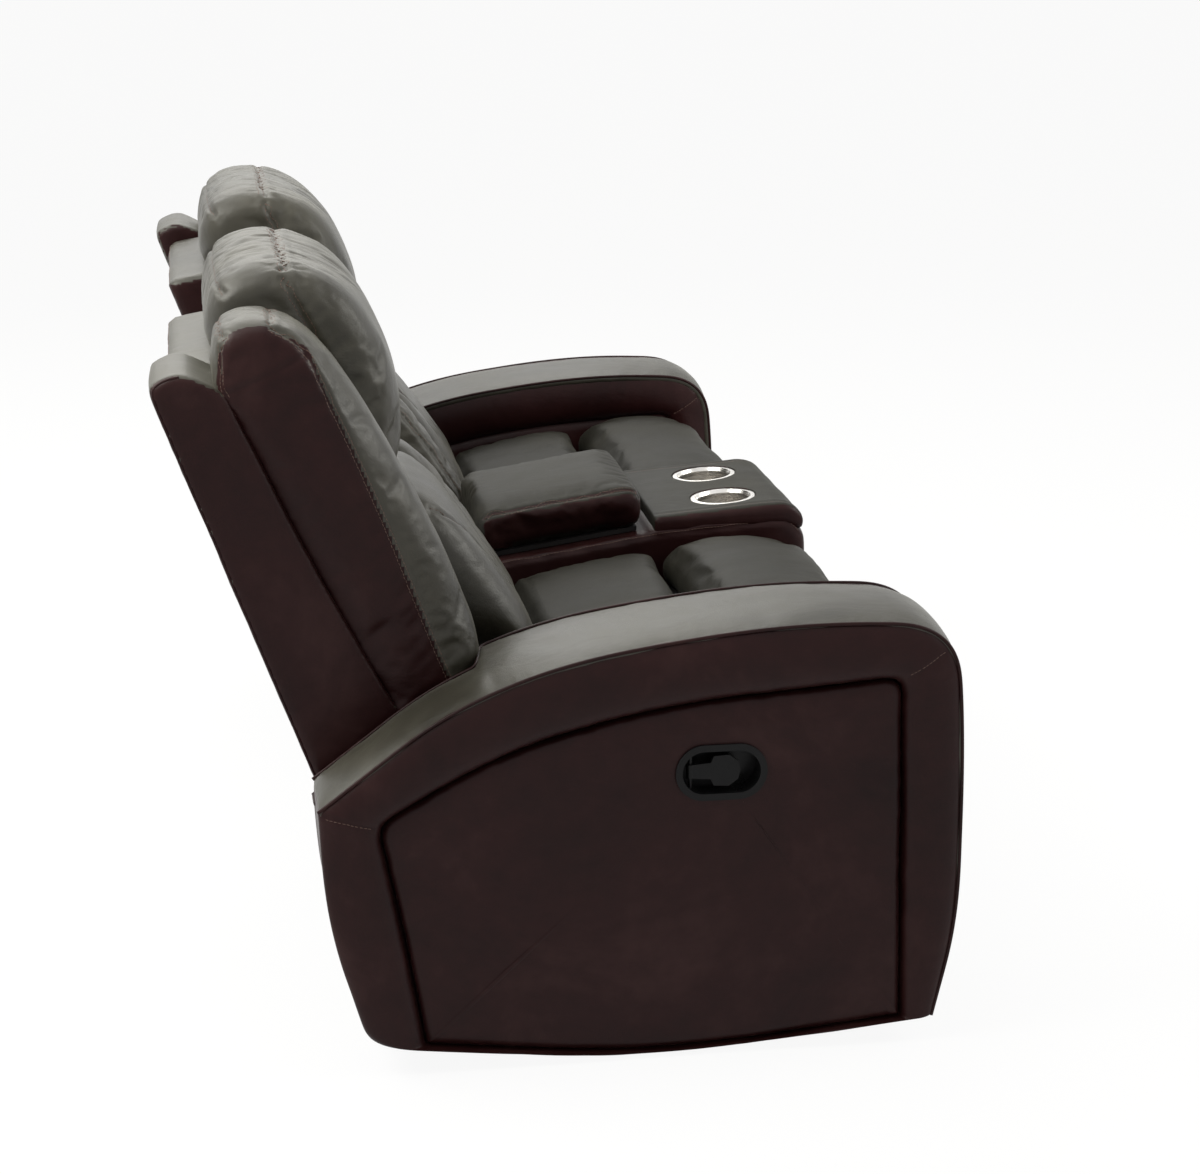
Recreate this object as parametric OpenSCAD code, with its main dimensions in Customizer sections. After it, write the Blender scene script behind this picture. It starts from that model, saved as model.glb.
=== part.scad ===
// Reclining loveseat for two with a centre console.
// Millimetres, X across the seats, -Y to the front, Z up, the floor at zero.
// Each form is drawn for the +X half and mirrored for the other one.

/* [Overall] */
// Width over both arms
overall_w = 1930; // [1860:5:2000]
// Depth from the arm fronts to the rear of the wings
depth = 1038; // [1018:5:1068]
// Height of the head cushions
back_h = 1016; // [1000:2:1040]

/* [Arms] */
// Width of each arm
arm_w = 214; // [200:2:230]
// Height of the arm's crest
arm_h = 583; // [570:1:600]
// Thickness of the pad along the top and front of the arm
arm_pad_t = 30; // [24:1:36]
// How far the pad crowns above its piped seams
arm_crown = 9; // [4:1:12]
// Wall of foam and leather round the arm's inner frame
arm_wall = 26; // [20:1:30]
// Lowest point of the curved edge under the arm
skirt_z = 7; // [4:1:14]
// Height of the arm's top at its rear end
tail_z = 365; // [355:1:375]
// Depth of the recess that holds the side panel
panel_recess = 30; // [24:1:36]

/* [Recline handles] */
// Length of the handle's flange
bezel_l = 120; // [110:1:130]
// Height of the handle's flange
bezel_h = 75; // [70:1:80]
// Depth of the pocket behind the flange
pocket_depth = 34; // [28:1:38]
// Wall of the moulded pocket
pocket_wall = 3; // [2:0.5:4]
// Height of the handle's centre
handle_z = 393; // [385:1:400]
// Distance of the handle's centre from the arm's front
handle_back = 322; // [310:1:335]

/* [Console] */
// Width of the console
console_w = 342; // [330:2:360]
// Height of the console's front edge
console_h = 550; // [540:1:560]
// Inner radius of a cup holder
cup_r = 42; // [38:0.5:45]
// Radius of a cup holder's flange
cup_flange_r = 53; // [50:0.5:56]
// Depth of a cup holder
cup_depth = 76; // [60:1:90]
// Distance between the two cup holders
cup_pitch = 161; // [150:1:170]
// Inner width of the storage bin
bin_w = 250; // [220:2:270]
// Inner length of the storage bin
bin_l = 240; // [200:2:250]
// Inner depth of the storage bin
bin_depth = 170; // [120:2:200]
// Wall of the storage liner
liner_wall = 3; // [2:0.5:4]

/* [Seats] */
// Height of the front pad's crown
thigh_h = 557; // [550:1:570]
// Height of the seat cushion's front edge
seat_h = 527; // [515:1:535]
// Free space on each side of a seat cushion
seat_side_gap = 5; // [3:0.5:8]
// Thickness of the seat frame's rails
rail_t = 20; // [16:1:24]
// Radius of the spring wire
wire_r = 2; // [1.5:0.25:2.5]

/* [Backs] */
// Width of the outer bolster and of the wing behind it
wing_w = 184; // [170:2:196]
// How far a wing reaches over its arm
wing_lap = 64; // [56:1:72]
// Width of the inner bolster
inner_w = 112; // [100:2:124]
// Free space between a back and the console's plane
back_gap = 4; // [3:0.5:6]
// Height of the recline pivot
pivot_z = 165; // [160:1:175]
// Distance of the recline pivot from the rear of the wings
pivot_in = 330; // [325:1:335]

/* [Footrest linkage] */
// Length of the lower links between their pivots
lower_len = 242; // [236:0.5:244]
// Length of the upper links between their pivots
upper_len = 265; // [262:0.5:268]
// Angle of the lower links when closed, from level to the front
lower_deg = -104; // [-106:0.5:-102]
// Angle of the upper links when closed
upper_deg = 57.5; // [57:0.25:59]
// Length of the upper link's tail below the middle pivot
tail_len = 42; // [40:0.5:44]
// Half the width of a link
link_r = 13; // [11:0.5:14]
// Thickness of the steel links and plates
link_t = 5; // [4:0.5:5.5]
// Radius of the rivets
rivet_r = 5; // [4:0.5:6]
// Thickness of the footrest board
board_t = 16; // [12:1:18]

/* [Base] */
// Height of the feet
foot_h = 26; // [22:1:30]
// Radius of the feet
foot_r = 24; // [20:1:30]
// Side of the square tubes across the base
tube_s = 25; // [20:1:30]

/* [Hidden] */
leather = "#2b2120";
leather_light = "#3d3a36";
steel = "#8b8d90";
plastic = "#1b1b1d";
timber = "#b08d5c";
// Clearance between pieces that seat on each other
fit = 0.3;
// Clearance round a pin that turns
run = 0.3;
// Distance between the planes of neighbouring links
pitch = 6;
out_x = overall_w / 2;
in_x = out_x - arm_w;
con_x = console_w / 2;
// Line of the arm's front seams, behind the crown of its pad
front_y = -depth / 2 + arm_crown;
rear_y = depth / 2;
seat_x0 = con_x + seat_side_gap;
seat_x1 = in_x - seat_side_gap;
back_x0 = con_x + back_gap;
wing_x1 = in_x + wing_lap;
wing_x0 = wing_x1 - wing_w;
pivot_y = rear_y - pivot_in;
// Rear end of the arm's top, under the wing
tail_y = rear_y - 189;
// Top of the tubes across the base
base_top = 40 + tube_s;
// Undersides that the frames and the footrest fit below
seat_bottom = seat_h - 137;
thigh_bottom = thigh_h - 120;
// Height where the head cushion meets the lumbar cushion
waist_z = back_h - 316;

SIDES = [["right", -1], ["left", 1]];
PAIRED = ["arm_shell", "arm_frame", "arm_side_panel", "arm_top_pad", "handle_bezel", "handle_paddle",
    "seat_frame", "seat_springs", "seat_cushion", "thigh_pad", "mechanism_plates", "lower_links",
    "upper_links", "lower_control_links", "board_control_links", "footrest_board", "footrest_pad",
    "back_frame", "back_shell", "back_wing", "outer_bolster", "inner_bolster", "head_cushion",
    "lumbar_cushion"];
SINGLE = ["console_case", "console_deck", "console_liner", "right_cup_holder", "left_cup_holder",
    "console_lid", "lid_board", "base_tubes", "feet", "rear_panel", "dust_cover"];

// Point of an outline as [y, z, cut], the corner rounded over the cut on both sides
function xy(p) = [p[0], p[1]];
function corner(a, b, c, cut, n) =
    let (
        la = norm(a - b),
        lc = norm(c - b),
        p = b + (a - b) * min(cut, 0.48 * la) / la,
        q = b + (c - b) * min(cut, 0.48 * lc) / lc
    )
    [for (j = [0:n]) let (t = j / n) p * (1 - t) * (1 - t) + b * 2 * t * (1 - t) + q * t * t];

// Closed outline with rounded corners, n faces to a corner
function soft(pts, n = 2) =
    let (k = len(pts))
    [for (i = [0:k - 1])
        each (pts[i][2] > 0
            ? corner(xy(pts[(i + k - 1) % k]), xy(pts[i]), xy(pts[(i + 1) % k]), pts[i][2], n)
            : [xy(pts[i])])];

// Open path with rounded corners, its two ends kept
function soft_path(pts, n = 2) =
    let (k = len(pts))
    [for (i = [0:k - 1])
        each (i == 0 || i == k - 1
            ? [xy(pts[i])]
            : corner(xy(pts[i - 1]), xy(pts[i]), xy(pts[i + 1]), pts[i][2], n))];

function left_of(v) = [-v[1], v[0]] / norm(v);
// Closed outline moved inwards by d
function inset(pts, d) =
    let (k = len(pts))
    [for (i = [0:k - 1]) pts[i] + left_of(pts[(i + 1) % k] - pts[(i + k - 1) % k]) * d];
// Control points of a closed outline moved so that each side shifts inwards by d
function narrow(pts, d) =
    let (k = len(pts))
    [for (i = [0:k - 1])
        let (
            a = left_of(xy(pts[i]) - xy(pts[(i + k - 1) % k])),
            b = left_of(xy(pts[(i + 1) % k]) - xy(pts[i])),
            p = xy(pts[i]) + (a + b) * d / max(0.4, 1 + a * b)
        )
        [p[0], p[1], pts[i][2]]];
// Open path moved to its left by d
function shift(pts, d) =
    let (k = len(pts))
    [for (i = [0:k - 1]) pts[i] + left_of(pts[min(i + 1, k - 1)] - pts[max(i - 1, 0)]) * d];
function turn(list) = [for (i = [len(list) - 1:-1:0]) list[i]];
function ring(x, outline) = [for (p = outline) [x, p[0], p[1]]];

// Distances from the edge of a padded form, and how far its outline is drawn in there
function edge_in(e, r, d) = e >= r ? 0 : d * (1 - sqrt(1 - pow(1 - e / r, 2)));
function padded_rings(pts, x0, x1, d, crown, pinch) =
    let (
        half = (x1 - x0) / 2,
        r = min(2 * d, 0.6 * half),
        es = [0, 0.14 * r, 0.5 * r, r],
        lo = min([for (p = pts) p[0]]),
        hi = max([for (p = pts) p[0]]),
        steps = concat([for (e = es) [x0 + e, e]], [[x0 + half, half]], [for (e = turn(es)) [x1 - e, e]])
    )
    [for (s = steps)
        let (dd = edge_in(s[1], r, d) + crown * pow(1 - s[1] / half, 2))
        [for (p = soft(narrow(pts, dd)))
            let (v = (2 * p[0] - lo - hi) / (hi - lo), out = (s[0] - x0 - half) / half)
            [s[0] - pinch * out * max(0, 1 - v * v), p[0], p[1]]]];

// Triangles that fill an outline, one corner without other points in it cut off at a time
function area2(a, b, c) = (b[0] - a[0]) * (c[1] - a[1]) - (b[1] - a[1]) * (c[0] - a[0]);
function holds(a, b, c, p) = area2(a, b, p) > 0 && area2(b, c, p) > 0 && area2(c, a, p) > 0;
function clear_corner(pts, a, b, c) =
    area2(pts[a], pts[b], pts[c]) > 0.01 && len([for (p = pts) if (holds(pts[a], pts[b], pts[c], p)) p]) == 0;
function fill(pts, left, i = 0) =
    let (k = len(left), a = left[(i + k - 1) % k], b = left[i], c = left[(i + 1) % k])
    k == 3 || i == k
        ? [left]
        : clear_corner(pts, a, b, c)
            ? concat([[a, b, c]], fill(pts, [for (j = [0:k - 1]) if (j != i) left[j]]))
            : fill(pts, left, i + 1);
function flat(ring) = [for (p = ring) [p[1], p[2]]];

// Solid through rings of equal length, each given from the lowest x
module loft(rings, convex = false) {
    m = len(rings[0]);
    n = len(rings);
    all = [for (i = [0:m - 1]) i];
    cap0 = convex ? [all] : fill(flat(rings[0]), all);
    cap1 = convex ? [all] : fill(flat(rings[n - 1]), all);
    polyhedron(
        points = [for (r = rings) each r],
        faces = concat(
            cap0,
            [for (t = cap1) [for (i = turn(t)) (n - 1) * m + i]],
            [for (k = [0:n - 2]) for (i = [0:m - 1])
                let (j = (i + 1) % m)
                each [[k * m + i, (k + 1) * m + i, (k + 1) * m + j], [k * m + i, (k + 1) * m + j, k * m + j]]]
        )
    );
}

// Cushion between two side planes: drawn in by d at its edges, crowned, its sides pinched
module cushion(pts, x0, x1, d = 16, crown = 5, pinch = 4)
    loft(padded_rings(pts, x0, x1, d, crown, pinch));

module half(s) {
    if (s < 0) mirror([1, 0, 0]) children();
    else children();
}

// Flat profile in Y and Z, from the plane x through thickness t
module yz(x, t) translate([x, 0, 0]) rotate([90, 0, 90]) linear_extrude(t) children();

module rod(x, y, z, r, l) translate([x, y, z]) rotate([0, 90, 0]) cylinder(r = r, h = l, $fn = 32);

// Arm: the line of its top from the tail over the crest and down the front
arm_drop = 34;
function arm_line() = soft_path([
    [tail_y, tail_z], [tail_y - 161, arm_h - 96, 70], [tail_y - 316, arm_h - 34, 110],
    [front_y + 245, arm_h + 5, 150], [front_y + 14, arm_h - 5, 85], [front_y, arm_h - 163, 110],
    [front_y, arm_drop + 136, 80], [front_y + 31, arm_drop]]);
function arm_foot() =
    let (
        line = soft_path([
            [front_y + 31 + arm_pad_t, arm_drop], [front_y + 415, skirt_z - 8, 170],
            [tail_y - 58, arm_drop + 8, 26], [tail_y - 9, 200, 90], [tail_y - 6, tail_z - arm_pad_t - 12]])
    )
    [for (i = [1:len(line) - 1]) line[i]];
function arm_core(d) = concat(arm_foot(), shift(arm_line(), arm_pad_t + d));
// Inner outline of the arm, open to the floor
function arm_inner(d) =
    let (t = arm_pad_t + arm_wall + d)
    concat(
        [[front_y + 31 + t, -5], [tail_y - 66 - arm_wall - d, -5], [tail_y - 9 - arm_wall - d, 200]],
        shift(arm_line(), t));

// Outline of the side panel, or of its recess with a gap round it and open below
function panel_outline(gap) = soft([
    [front_y + 72 - gap, arm_drop - 2 - 20 * gap, 0], [front_y + 415, skirt_z - 7 - 20 * gap, 170],
    [tail_y - 132 + gap, arm_drop - 20 * gap, 0], [tail_y - 111 + gap, 160, 60],
    [tail_y - 76 + gap, tail_z - 25 + gap, 24], [tail_y - 231, arm_h - 155 + gap, 110],
    [front_y + 405, arm_h - 102 + gap, 110], [front_y + 83 - gap, arm_h - 76 + gap, 26],
    [front_y + 77 - gap, 270, 60]]);

// Space that the wing and the bolster sweep over the inner edge of the arm's tail
module wing_room()
    yz(in_x - 1, wing_lap + 11)
        polygon([[rear_y - 440, tail_z + 89], [rear_y - 375, tail_z + 79], [rear_y - 320, tail_z + 49],
            [rear_y - 256, tail_z - 1], [rear_y - 212, tail_z - 35], [rear_y - 212, 150],
            [rear_y - 130, 150], [rear_y - 130, arm_h + 40], [rear_y - 440, arm_h + 40]]);

// Face of the side panel at its crown
panel_face = out_x - panel_recess + fit + 26;

module stadium(l, h) {
    r = h / 2;
    square([l - h, h], center = true);
    for (u = [-1, 1]) translate([u * (l / 2 - r), 0]) circle(r = r, $fn = 48);
}

module at_handle(x, t) translate([0, front_y + handle_back, handle_z]) yz(x, t) children();

// Posts beside the board of the arm's frame, one over each foot
post_y = [front_y + 84, front_y + 634];
post_l = 56;
post_w = 62;
arm_board_t = 18;
module arm_posts(d, z0, z1)
    for (y = post_y)
        translate([in_x + arm_wall + arm_board_t - 4, y - d, z0]) cube([post_w + 4 + d, post_l + 2 * d, z1 - z0]);

module handle_hole(d)
    at_handle(panel_face - pocket_depth - d, pocket_depth + 10) stadium(bezel_l - 12 + 2 * d, bezel_h - 12 + 2 * d);

module arm_shell() {
    x0 = in_x + fit;
    outline = arm_core(1.2);
    steps = [[x0, 4], [x0 + 7, 0], [out_x - 18, 0], [out_x - 7, 2], [out_x - 1, 6]];
    color(leather)
        difference() {
            loft([for (s = steps) ring(s[0], inset(outline, s[1]))]);
            yz(out_x - panel_recess, panel_recess + 1) polygon(panel_outline(1.5));
            yz(in_x + arm_wall, arm_board_t + 2 * fit) polygon(arm_inner(0));
            arm_posts(2 * fit, -5, 216 + fit);
            handle_hole(fit);
            wing_room();
        }
}

module arm_frame() {
    color(timber)
        difference() {
            union() {
                yz(in_x + arm_wall + fit, arm_board_t) difference() {
                    polygon(arm_inner(1.6));
                    translate([front_y, -10]) square([depth, foot_h + 10]);
                }
                arm_posts(fit, foot_h, 216);
            }
            wing_room();
        }
}

module arm_side_panel() {
    outline = panel_outline(0);
    x = out_x - panel_recess + fit;
    steps = [[x, 1], [x + 12, 0], [x + 18, 3], [x + 23, 9], [panel_face, 18]];
    color(leather)
        difference() {
            loft([for (s = steps) ring(s[0], inset(outline, s[1]))]);
            handle_hole(fit);
        }
}

module arm_top_pad() {
    line = arm_line();
    inner = turn(shift(line, arm_pad_t));
    steps = [[in_x, 8, 5], [in_x + 6, 2, 0], [in_x + 0.25 * arm_w, -0.7 * arm_crown, 0],
        [in_x + 0.5 * arm_w, -arm_crown, 0], [in_x + 0.75 * arm_w, -0.7 * arm_crown, 0],
        [out_x - 6, 2, 0], [out_x, 8, 5]];
    color(leather_light)
        difference() {
            loft([for (s = steps) ring(s[0], concat(shift(line, s[1]), shift(inner, s[2])))]);
            wing_room();
        }
}

// Recline handle: a moulded pocket with a flange, and a pull paddle on a vertical pin
paddle_pin_y = front_y + handle_back + bezel_l / 2 - 21;
paddle_pin_x = out_x - 13;
module handle_bezel() {
    color(plastic)
        difference() {
            union() {
                at_handle(panel_face + fit, 3) stadium(bezel_l, bezel_h);
                at_handle(panel_face - pocket_depth, pocket_depth + 1) stadium(bezel_l - 12, bezel_h - 12);
            }
            difference() {
                at_handle(panel_face - pocket_depth + pocket_wall, pocket_depth + 10)
                    stadium(bezel_l - 12 - 2 * pocket_wall, bezel_h - 12 - 2 * pocket_wall);
                translate([paddle_pin_x, paddle_pin_y, handle_z - 40]) cylinder(r = 2.5, h = 80, $fn = 24);
            }
        }
}

module handle_paddle() {
    l = 62;
    t = 6;
    color(plastic)
        difference() {
            union() {
                translate([0, paddle_pin_y, handle_z]) yz(paddle_pin_x - t / 2 + 2, t)
                    polygon([[0, -9], [0, 9], [-26, 11], [-30, 20], [-50, 21], [-l, 12], [-l - 3, 0],
                        [-l, -12], [-50, -21], [-30, -20], [-26, -11]]);
                translate([paddle_pin_x, paddle_pin_y, handle_z - 9]) cylinder(r = 5.5, h = 18, $fn = 32);
            }
            translate([paddle_pin_x, paddle_pin_y, handle_z - 40]) cylinder(r = 2.5 + run, h = 80, $fn = 24);
        }
}

// Console: a padded case that rises to the front, a deck with two cup holders, a bin and its lid
rim_slope = 0.151;
rim_y0 = front_y + 279;
function rim_z(y) = console_h - 38 - (y - rim_y0) * rim_slope;
cup_tilt = 4.4;
cup_y = front_y + 147;
cup_z = console_h - 7;
module at_cup(s) translate([s * cup_pitch / 2, cup_y, cup_z]) rotate([-cup_tilt, 0, 0]) children();

bin_y1 = rim_y0 + 16 + liner_wall + bin_l;
bin_y0 = bin_y1 - bin_l;
bin_z0 = rim_z(bin_y1) - bin_depth;
hinge_y = bin_y1 + 28;
hinge_z = rim_z(hinge_y) + 8;
hinge_r = 6;
module console_case() {
    e = liner_wall + fit;
    color(leather)
        difference() {
            union() {
                yz(-con_x, console_w) polygon(soft([
                    [front_y + 45, base_top + fit, 16], [rear_y - 310, base_top + fit, 6], [rear_y - 310, rim_z(rear_y - 310), 8],
                    [rim_y0 - 6, rim_z(rim_y0 - 6), 4], [rim_y0 - 6, console_h - 30, 0],
                    [front_y + 60, console_h - 18, 20], [front_y + 34, console_h - 46, 16],
                    [front_y + 22, 300, 120]], 6));
                for (u = [-1, 1])
                    translate([u * (bin_w / 2 - 14) - 6, hinge_y - 10, hinge_z - 22]) cube([12, 20, 22]);
                for (u = [-1, 1]) rod(u * (bin_w / 2 - 14) - 6, hinge_y, hinge_z, 10, 12);
            }
            translate([-bin_w / 2 - e, bin_y0 - e, bin_z0 - e]) cube([bin_w + 2 * e, bin_l + 2 * e, 400]);
            for (s = [-1, 1]) at_cup(s) translate([0, 0, -cup_depth - 6]) cylinder(r = cup_r + 2, h = 120, $fn = 64);
            rod(-bin_w / 2, hinge_y, hinge_z, 3 + run, bin_w);
        }
}

module console_deck() {
    outline = soft([
        [front_y + 35, console_h - 36, 10], [front_y + 61, console_h - 17, 20], [rim_y0 - 6, console_h - 29, 0],
        [rim_y0 - 6, console_h - 14, 6], [front_y + 165, console_h - 5, 60], [front_y + 55, console_h + 4, 26],
        [front_y + 26, console_h - 22, 16]], 3);
    color(leather_light)
        difference() {
            yz(-con_x, console_w) polygon(outline);
            for (s = [-1, 1]) at_cup(s) translate([0, 0, -cup_depth - 6]) cylinder(r = cup_r + 2, h = 120, $fn = 64);
            for (s = [-1, 1]) at_cup(s) translate([0, 0, -1]) cylinder(r = cup_flange_r + fit, h = 40, $fn = 64);
        }
}

module cup_holder(s) {
    wall = 1.5;
    color(steel)
        at_cup(s) rotate_extrude($fn = 72)
            polygon([
                [0, -cup_depth], [cup_r - 6, -cup_depth], [cup_r - 1.5, -cup_depth + 5], [cup_r, -cup_depth + 14],
                [cup_r, -3], [cup_r + 2.5, 2], [cup_flange_r - 2, 1.6], [cup_flange_r, 0],
                [cup_flange_r, -1 + fit], [cup_r + wall + 0.4, -1 + fit], [cup_r + wall, -4],
                [cup_r + wall, -cup_depth + 13], [cup_r - 0.5, -cup_depth + 3], [cup_r - 5, -cup_depth - wall],
                [0, -cup_depth - wall]]);
}

module console_liner() {
    w = bin_w + 2 * liner_wall;
    l = bin_l + 2 * liner_wall;
    color(plastic)
        difference() {
            translate([-w / 2, bin_y0 - liner_wall, bin_z0 - liner_wall]) cube([w, l, 400]);
            translate([-bin_w / 2, bin_y0, bin_z0]) cube([bin_w, bin_l, 400]);
            yz(-con_x, console_w) polygon([
                [bin_y0 - 20, rim_z(bin_y0 - 20)], [bin_y1 + 20, rim_z(bin_y1 + 20)],
                [bin_y1 + 20, console_h + 400], [bin_y0 - 20, console_h + 400]]);
        }
}

lid_x = con_x - 6;
module console_lid() {
    y1 = hinge_y - 12;
    outline = [
        [rim_y0 + 4, rim_z(rim_y0 + 4) + 8, 14], [y1, rim_z(y1) + 8, 10], [y1, rim_z(y1) + 78, 24],
        [rim_y0 + 140, console_h + 22, 80], [rim_y0 + 14, console_h + 40, 26], [rim_y0, console_h, 26]];
    color(leather_light) cushion(outline, -lid_x, lid_x, 14, 4, 2);
}

module lid_board() {
    y0 = rim_y0 + 18;
    y1 = hinge_y;
    color(timber)
        difference() {
            union() {
                yz(-bin_w / 2 - 20, bin_w + 40) polygon([
                    [y0, rim_z(y0) + 1], [y1 - 14, rim_z(y1 - 14) + 1],
                    [y1 - 14, rim_z(y1 - 14) + 7.5], [y0, rim_z(y0) + 7.5]]);
                translate([-bin_w / 2 + 24, y1 - 18, hinge_z - 5]) cube([bin_w - 48, 18, 4.5]);
                rod(-bin_w / 2 + 24, hinge_y, hinge_z, hinge_r, bin_w - 48);
                rod(-bin_w / 2 + 4, hinge_y, hinge_z, 3, bin_w - 8);
            }
        }
}

// Seats
module seat_frame() {
    x0 = con_x + 40;
    x1 = in_x - 40;
    z = seat_bottom - 54;
    y_front = front_y + 86;
    y_mid = front_y + 248;
    y_rear = rear_y - 405;
    color(timber)
        union() {
            for (x = [x0, x1 - rail_t])
                translate([x, y_front, z]) cube([rail_t, y_rear - y_front, 40]);
            translate([x0, y_front, z]) cube([x1 - x0, rail_t, thigh_bottom + 3 - z]);
            translate([x0, y_mid, z]) cube([x1 - x0, rail_t, thigh_bottom - fit - z]);
            translate([x0, y_rear - rail_t, z]) cube([x1 - x0, rail_t, 40]);
        }
}

// Zigzag of one spring as points along the seat, its bends rounded
function spring_path(x, y0, y1, w, n) =
    let (p = (y1 - y0) / n)
    concat(
        [[x, y0, 0]],
        [for (i = [0:n - 1]) for (t = [0.22, 0.78])
            [x + (i % 2 == 0 ? 1 : -1) * w, y0 + p * (i + t), 0]],
        [[x, y1, 0]]);
function tube_rings(path, r, sides, z) =
    [for (i = [0:len(path) - 1])
        let (
            d = path[min(i + 1, len(path) - 1)] - path[max(i - 1, 0)],
            u = d / norm(d),
            side = [u[1], -u[0], 0]
        )
        [for (k = [0:sides - 1]) let (a = -360 * k / sides)
            path[i] + side * r * cos(a) + [0, 0, z + r * sin(a)]]];
module seat_springs() {
    y0 = front_y + 249 + rail_t + fit;
    y1 = rear_y - 405 - 3;
    color(steel)
        for (x = [con_x + 125, (con_x + in_x) / 2, in_x - 125])
            loft(tube_rings(spring_path(x, y0, y1, 24, 9), wire_r, 4, seat_bottom - 14 + wire_r + fit), true);
}

module seat_cushion() {
    y0 = front_y + 271;
    y1 = rear_y - 397;
    y2 = rear_y - 536;
    color(leather_light)
        cushion([
            [y0, seat_bottom, 16], [y1, seat_bottom - 10, 16], [y1, seat_h - 98, 14], [y2 + 4, seat_h - 92, 8],
            [y2, seat_h - 36, 22], [y2 - 110, seat_h - 12, 60], [y0 + 24, seat_h + 8, 30],
            [y0 + 2, seat_h - 24, 22]], seat_x0, seat_x1);
}

module thigh_pad() {
    y1 = front_y + 268;
    color(leather_light)
        cushion([
            [front_y + 25, thigh_bottom + 5, 18], [y1 - 8, thigh_bottom, 16], [y1, thigh_h - 27, 26], [y1 - 52, thigh_h + 8, 50],
            [front_y + 104, thigh_h + 3, 50], [front_y + 32, thigh_h - 72, 40]], seat_x0, seat_x1);
}

// Linkage: pivots at rest, found from the lengths and the closed angles
function along(deg) = [-cos(deg), sin(deg)];
base_pivot = [front_y + 186, 352];
control_pivot = base_pivot + [34, -39];
mid_pivot = base_pivot + along(lower_deg) * lower_len;
board_pivot = mid_pivot + along(upper_deg) * upper_len;
tail_pivot = mid_pivot - along(upper_deg) * tail_len;
ear_pivot = mid_pivot + along(lower_deg) * 43 - left_of(along(lower_deg)) * 11;
board_stud = board_pivot + [3, -42];
// Play in the two eyes where the closed chains are left open
eye_play = 4.5;

// Plane of a link as [start, thickness] for plane n, at the arm side and the console side
function plane_x(n, u) = u > 0 ? in_x - 3 - n * pitch - link_t : con_x + 3 + n * pitch;
module in_plane(n, t = link_t) for (u = [-1, 1]) yz(plane_x(n, u), t) children();
module on_plane(n) for (u = [-1, 1]) translate([plane_x(n, u), 0, 0]) children();

// Link between two round eyes, its shank a little narrower
module bar(p, q, r) {
    d = q - p;
    w = 0.88 * r;
    translate(p) circle(r = r, $fn = 40);
    translate(q) circle(r = r, $fn = 40);
    translate(p) rotate(atan2(d[1], d[0])) translate([0, -w]) square([norm(d), 2 * w]);
}
module hole(p, r) translate(p) circle(r = r, $fn = 32);
// Rivet through planes a to b, with a low head beyond b
module rivet(p, a, b) {
    for (u = [-1, 1]) {
        x0 = min(plane_x(a, u), plane_x(b, u));
        x1 = max(plane_x(a, u), plane_x(b, u)) + link_t;
        rod(x0, p[0], p[1], rivet_r, x1 - x0);
        translate([u > 0 ? x0 - 0.8 : x1, p[0], p[1]]) rotate([0, 90, 0])
            cylinder(r = rivet_r + 3, h = 0.8, $fn = 32);
    }
}

// Ledges of the plates that carry the seat frame
ledge_y = [front_y + 310, front_y + 520];
ledge_z = seat_bottom - 54 - fit;
module mechanism_plates() {
    foot = base_top + fit;
    color(steel) {
        in_plane(0) difference() {
            union() {
                bar(base_pivot, [pivot_y - 60, 250], 22);
                bar(control_pivot, [pivot_y - 60, 250], 24);
                bar([pivot_y - 60, 250], [pivot_y, pivot_z], 22);
                polygon([[pivot_y - 130, 300], [pivot_y - 40, foot], [pivot_y + 8, foot], [pivot_y + 10, 200]]);
                polygon([[front_y + 290, 330], [front_y + 330, foot], [front_y + 370, foot], [front_y + 400, 300]]);
                for (y = ledge_y) translate([y, 250]) square([40, ledge_z - 250]);
            }
            hole([front_y + 350, 160], 12);
            hole([pivot_y - 20, 110], 12);
        }
        for (y = ledge_y) {
            translate([in_x - 60, y, ledge_z - link_t]) cube([55, 40, link_t]);
            translate([con_x + 5, y, ledge_z - link_t]) cube([55, 40, link_t]);
        }
        rivet(base_pivot, 0, 1);
        rivet(control_pivot, 0, 2);
        rivet([pivot_y, pivot_z], 0, 1);
    }
}

module lower_links() {
    color(steel) {
        in_plane(1) difference() {
            union() {
                bar(base_pivot, mid_pivot, link_r);
                bar(mid_pivot, ear_pivot, link_r - 1.5);
            }
            hole(base_pivot, rivet_r + run);
        }
        rivet(mid_pivot, 1, 3);
        rivet(ear_pivot, 1, 4);
    }
}

module upper_links() {
    color(steel) {
        in_plane(3) difference() {
            union() {
                bar(mid_pivot, board_pivot, link_r);
                bar(mid_pivot, tail_pivot, link_r - 1.5);
            }
            hole(mid_pivot, rivet_r + run);
            hole(board_pivot, rivet_r + run);
        }
        for (u = [-1, 1])
            rod(plane_x(u > 0 ? 3 : 2, u), tail_pivot[0], tail_pivot[1], rivet_r, pitch + link_t);
    }
}

module lower_control_links() {
    color(steel)
        in_plane(2) difference() {
            union() {
                bar(control_pivot, tail_pivot, link_r - 4);
                translate(tail_pivot) circle(r = rivet_r + eye_play + 5, $fn = 40);
            }
            hole(control_pivot, rivet_r + run);
            hole(tail_pivot, rivet_r + eye_play);
        }
}

module board_control_links() {
    color(steel)
        in_plane(4) difference() {
            union() {
                bar(ear_pivot, board_stud, link_r - 4);
                translate(board_stud) circle(r = rivet_r + eye_play + 5, $fn = 40);
            }
            hole(ear_pivot, rivet_r + run);
            hole(board_stud, rivet_r + eye_play);
        }
}

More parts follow.
